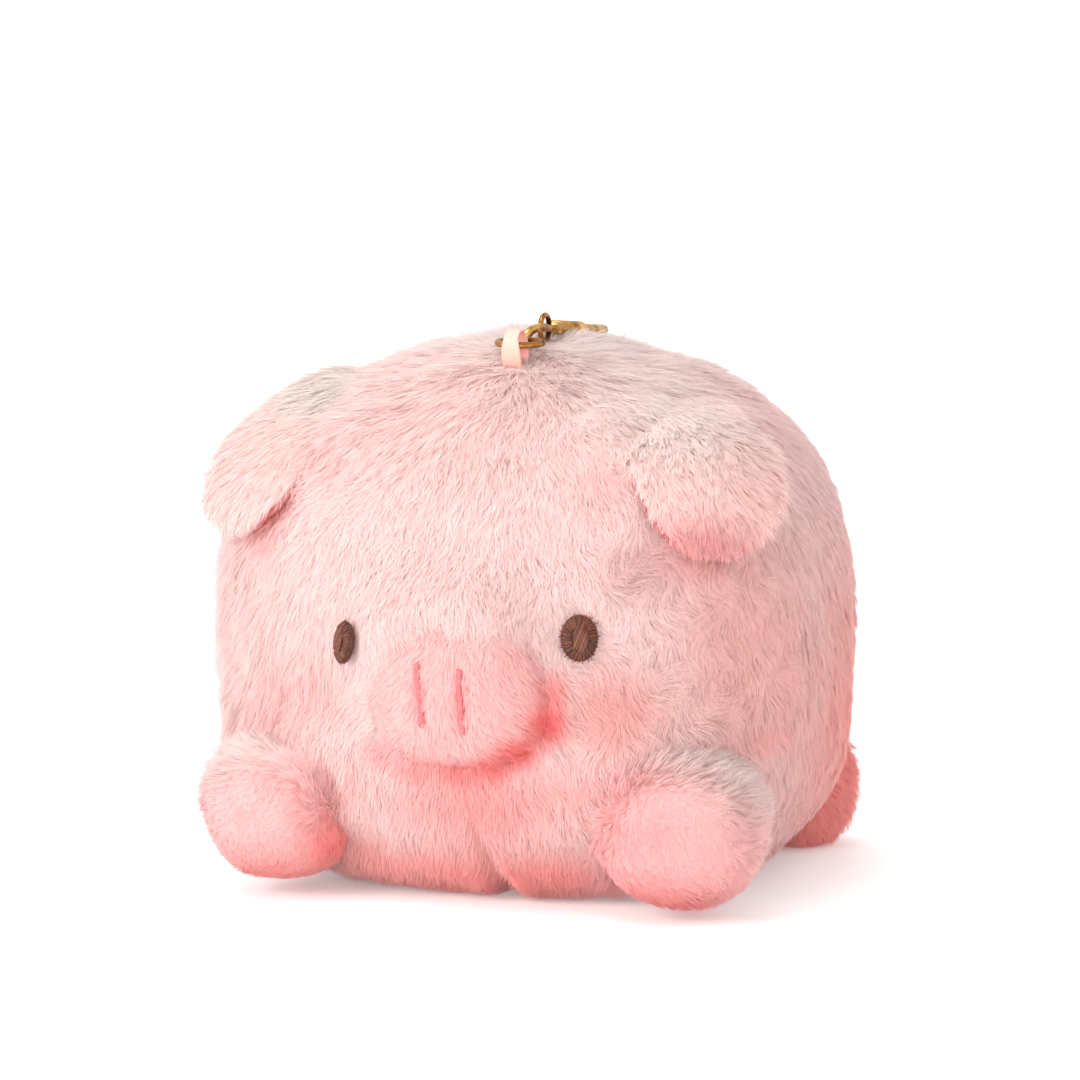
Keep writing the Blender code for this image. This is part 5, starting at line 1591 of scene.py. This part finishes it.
# %% Round the brass pieces
def rounded_copy(node, name, levels):
    """A smooth copy of a CAD piece; without levels only its edges are bevelled."""
    mesh = bpy.data.objects[node].data.copy()
    mesh.materials.clear()
    item = add_object(name, mesh)
    form = bmesh.new()
    form.from_mesh(mesh)
    bmesh.ops.remove_doubles(form, verts=form.verts[:], dist=1e-6)
    bmesh.ops.join_triangles(form, faces=form.faces[:], angle_face_threshold=0.7, angle_shape_threshold=0.9)
    form.to_mesh(mesh)
    form.free()
    if levels:
        modify(item, "SUBSURF", levels=levels, render_levels=levels)
        bpy.ops.object.shade_smooth()
    else:
        modify(item, "BEVEL", width=0.12 * MM, segments=2, limit_method="ANGLE")
        bpy.ops.object.shade_smooth_by_angle(angle=math.radians(40))
    return item


for node, body, material, levels in (
    ("jump_ring", "ring", DARKER_BRASS, 1), ("curb_link", "link", BRASS, 1),
    ("connector_ring", "connector", DARKER_BRASS, 1), ("clasp_body", "clasp", BRASS, 0),
    ("clasp_gate", "gate", BRASS, 0),
):
    item = rounded_copy(node, f"brass_{node}", levels)
    item.data.materials.append(material)
    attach(item, body)
    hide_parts(node)
    print(f"{item.name}: {len(item.data.polygons)} faces")
for node in ("clasp_pin", "clasp_spring"):
    for slot in bpy.data.objects[node].material_slots:
        slot.material = DARKER_BRASS

# %% [markdown]
# ## Filling
# Polyester fibre fills the pig. It is never seen, but the CAD keeps it as solids of its own, so
# they get the look of teased white fibre. Real fibres would cost a lot and show nothing.

# %% Filling material
made, tree, shader = new_material("polyester_filling")
where = add_node(tree, "TexCoord").outputs["Object"]
fibre = add_node(tree, "TexNoise", {"Vector": where, "Scale": 260, "Detail": 6, "Distortion": 2.5})
shades = add_ramp(tree, fibre.outputs["Fac"], (0.0, (0.72, 0.70, 0.69)), (1.0, (0.93, 0.92, 0.91)))
feed(tree, shader, {"Base Color": shades, "Roughness": 0.95})
for item in bpy.data.objects:
    if item.name.endswith("_stuffing"):
        for slot in item.material_slots:
            slot.material = made
        print("filling:", item.name)

# %% [markdown]
# ## Dressing
# The cloth under the pile shows between the strands, so each skin has the material of the pile
# that grows on it, in the tone of a strand's lower part. Each skin also takes the place of its CAD
# nodes, which are hidden, and rides on the body they belong to.

# %% Dress the skins
# Painted shade under the pile: a skin takes a strand's darker lower part, and its tone is a little lower
# still.
SKIN_ALONG, SKIN_TONE = 0.25, 0.95
panels = ("face_panel_left", "face_panel_right", "flank_panel_left", "flank_panel_right", "belly_panel")
skins = [
    (body_skin, PILE, "pig", panels, "body_plush", 0.8),
    (snout_skin, SNOUT_PILE, "pig", ("snout_cover",), "face_plush", 0.8),
    (tail_skin, PILE, "pig", ("tail",), "body_plush", 0.7),
]
for side, _ in SIDES:
    foreleg = (f"foreleg_{side}_cover", f"paw_pad_{side}", f"foreleg_{side}_stuffing")
    ear = f"ear_{side}"
    skins += [
        (foreleg_skins[side], PAD_PILE, "pig", foreleg, "pad_velour", 0.8),
        (hindleg_skins[side], HINDLEG_PILE, "pig", (f"hindleg_{side}_cover",), "body_plush", 0.8),
        (ear_plush[side], EAR_PILE, ear, (f"ear_{side}_plush",), "body_plush", 0.3),
        (ear_lining[side], LINING_PILE, ear, (f"ear_{side}_lining",), "lining_velour", 0.3),
    ]
for skin, look, body, nodes, slot, fill in skins:
    count = len(skin.data.vertices)
    store(skin.data, "root_to_tip", np.full(count, SKIN_ALONG))
    store(skin.data, "strand_tone", np.full(count, SKIN_TONE))
    skin.data.materials.append(look)
    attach(skin, body)
    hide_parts(*nodes)
print("skins:", len(skins))

# %% [markdown]
# ## Sizes
# The pile makes the pig larger than its CAD. Its dressed box is measured and printed.

# %% Sizes, and the end
low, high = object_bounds()
print("dressed box, mm:", [round(v / MM, 1) for v in (*low, *high)])
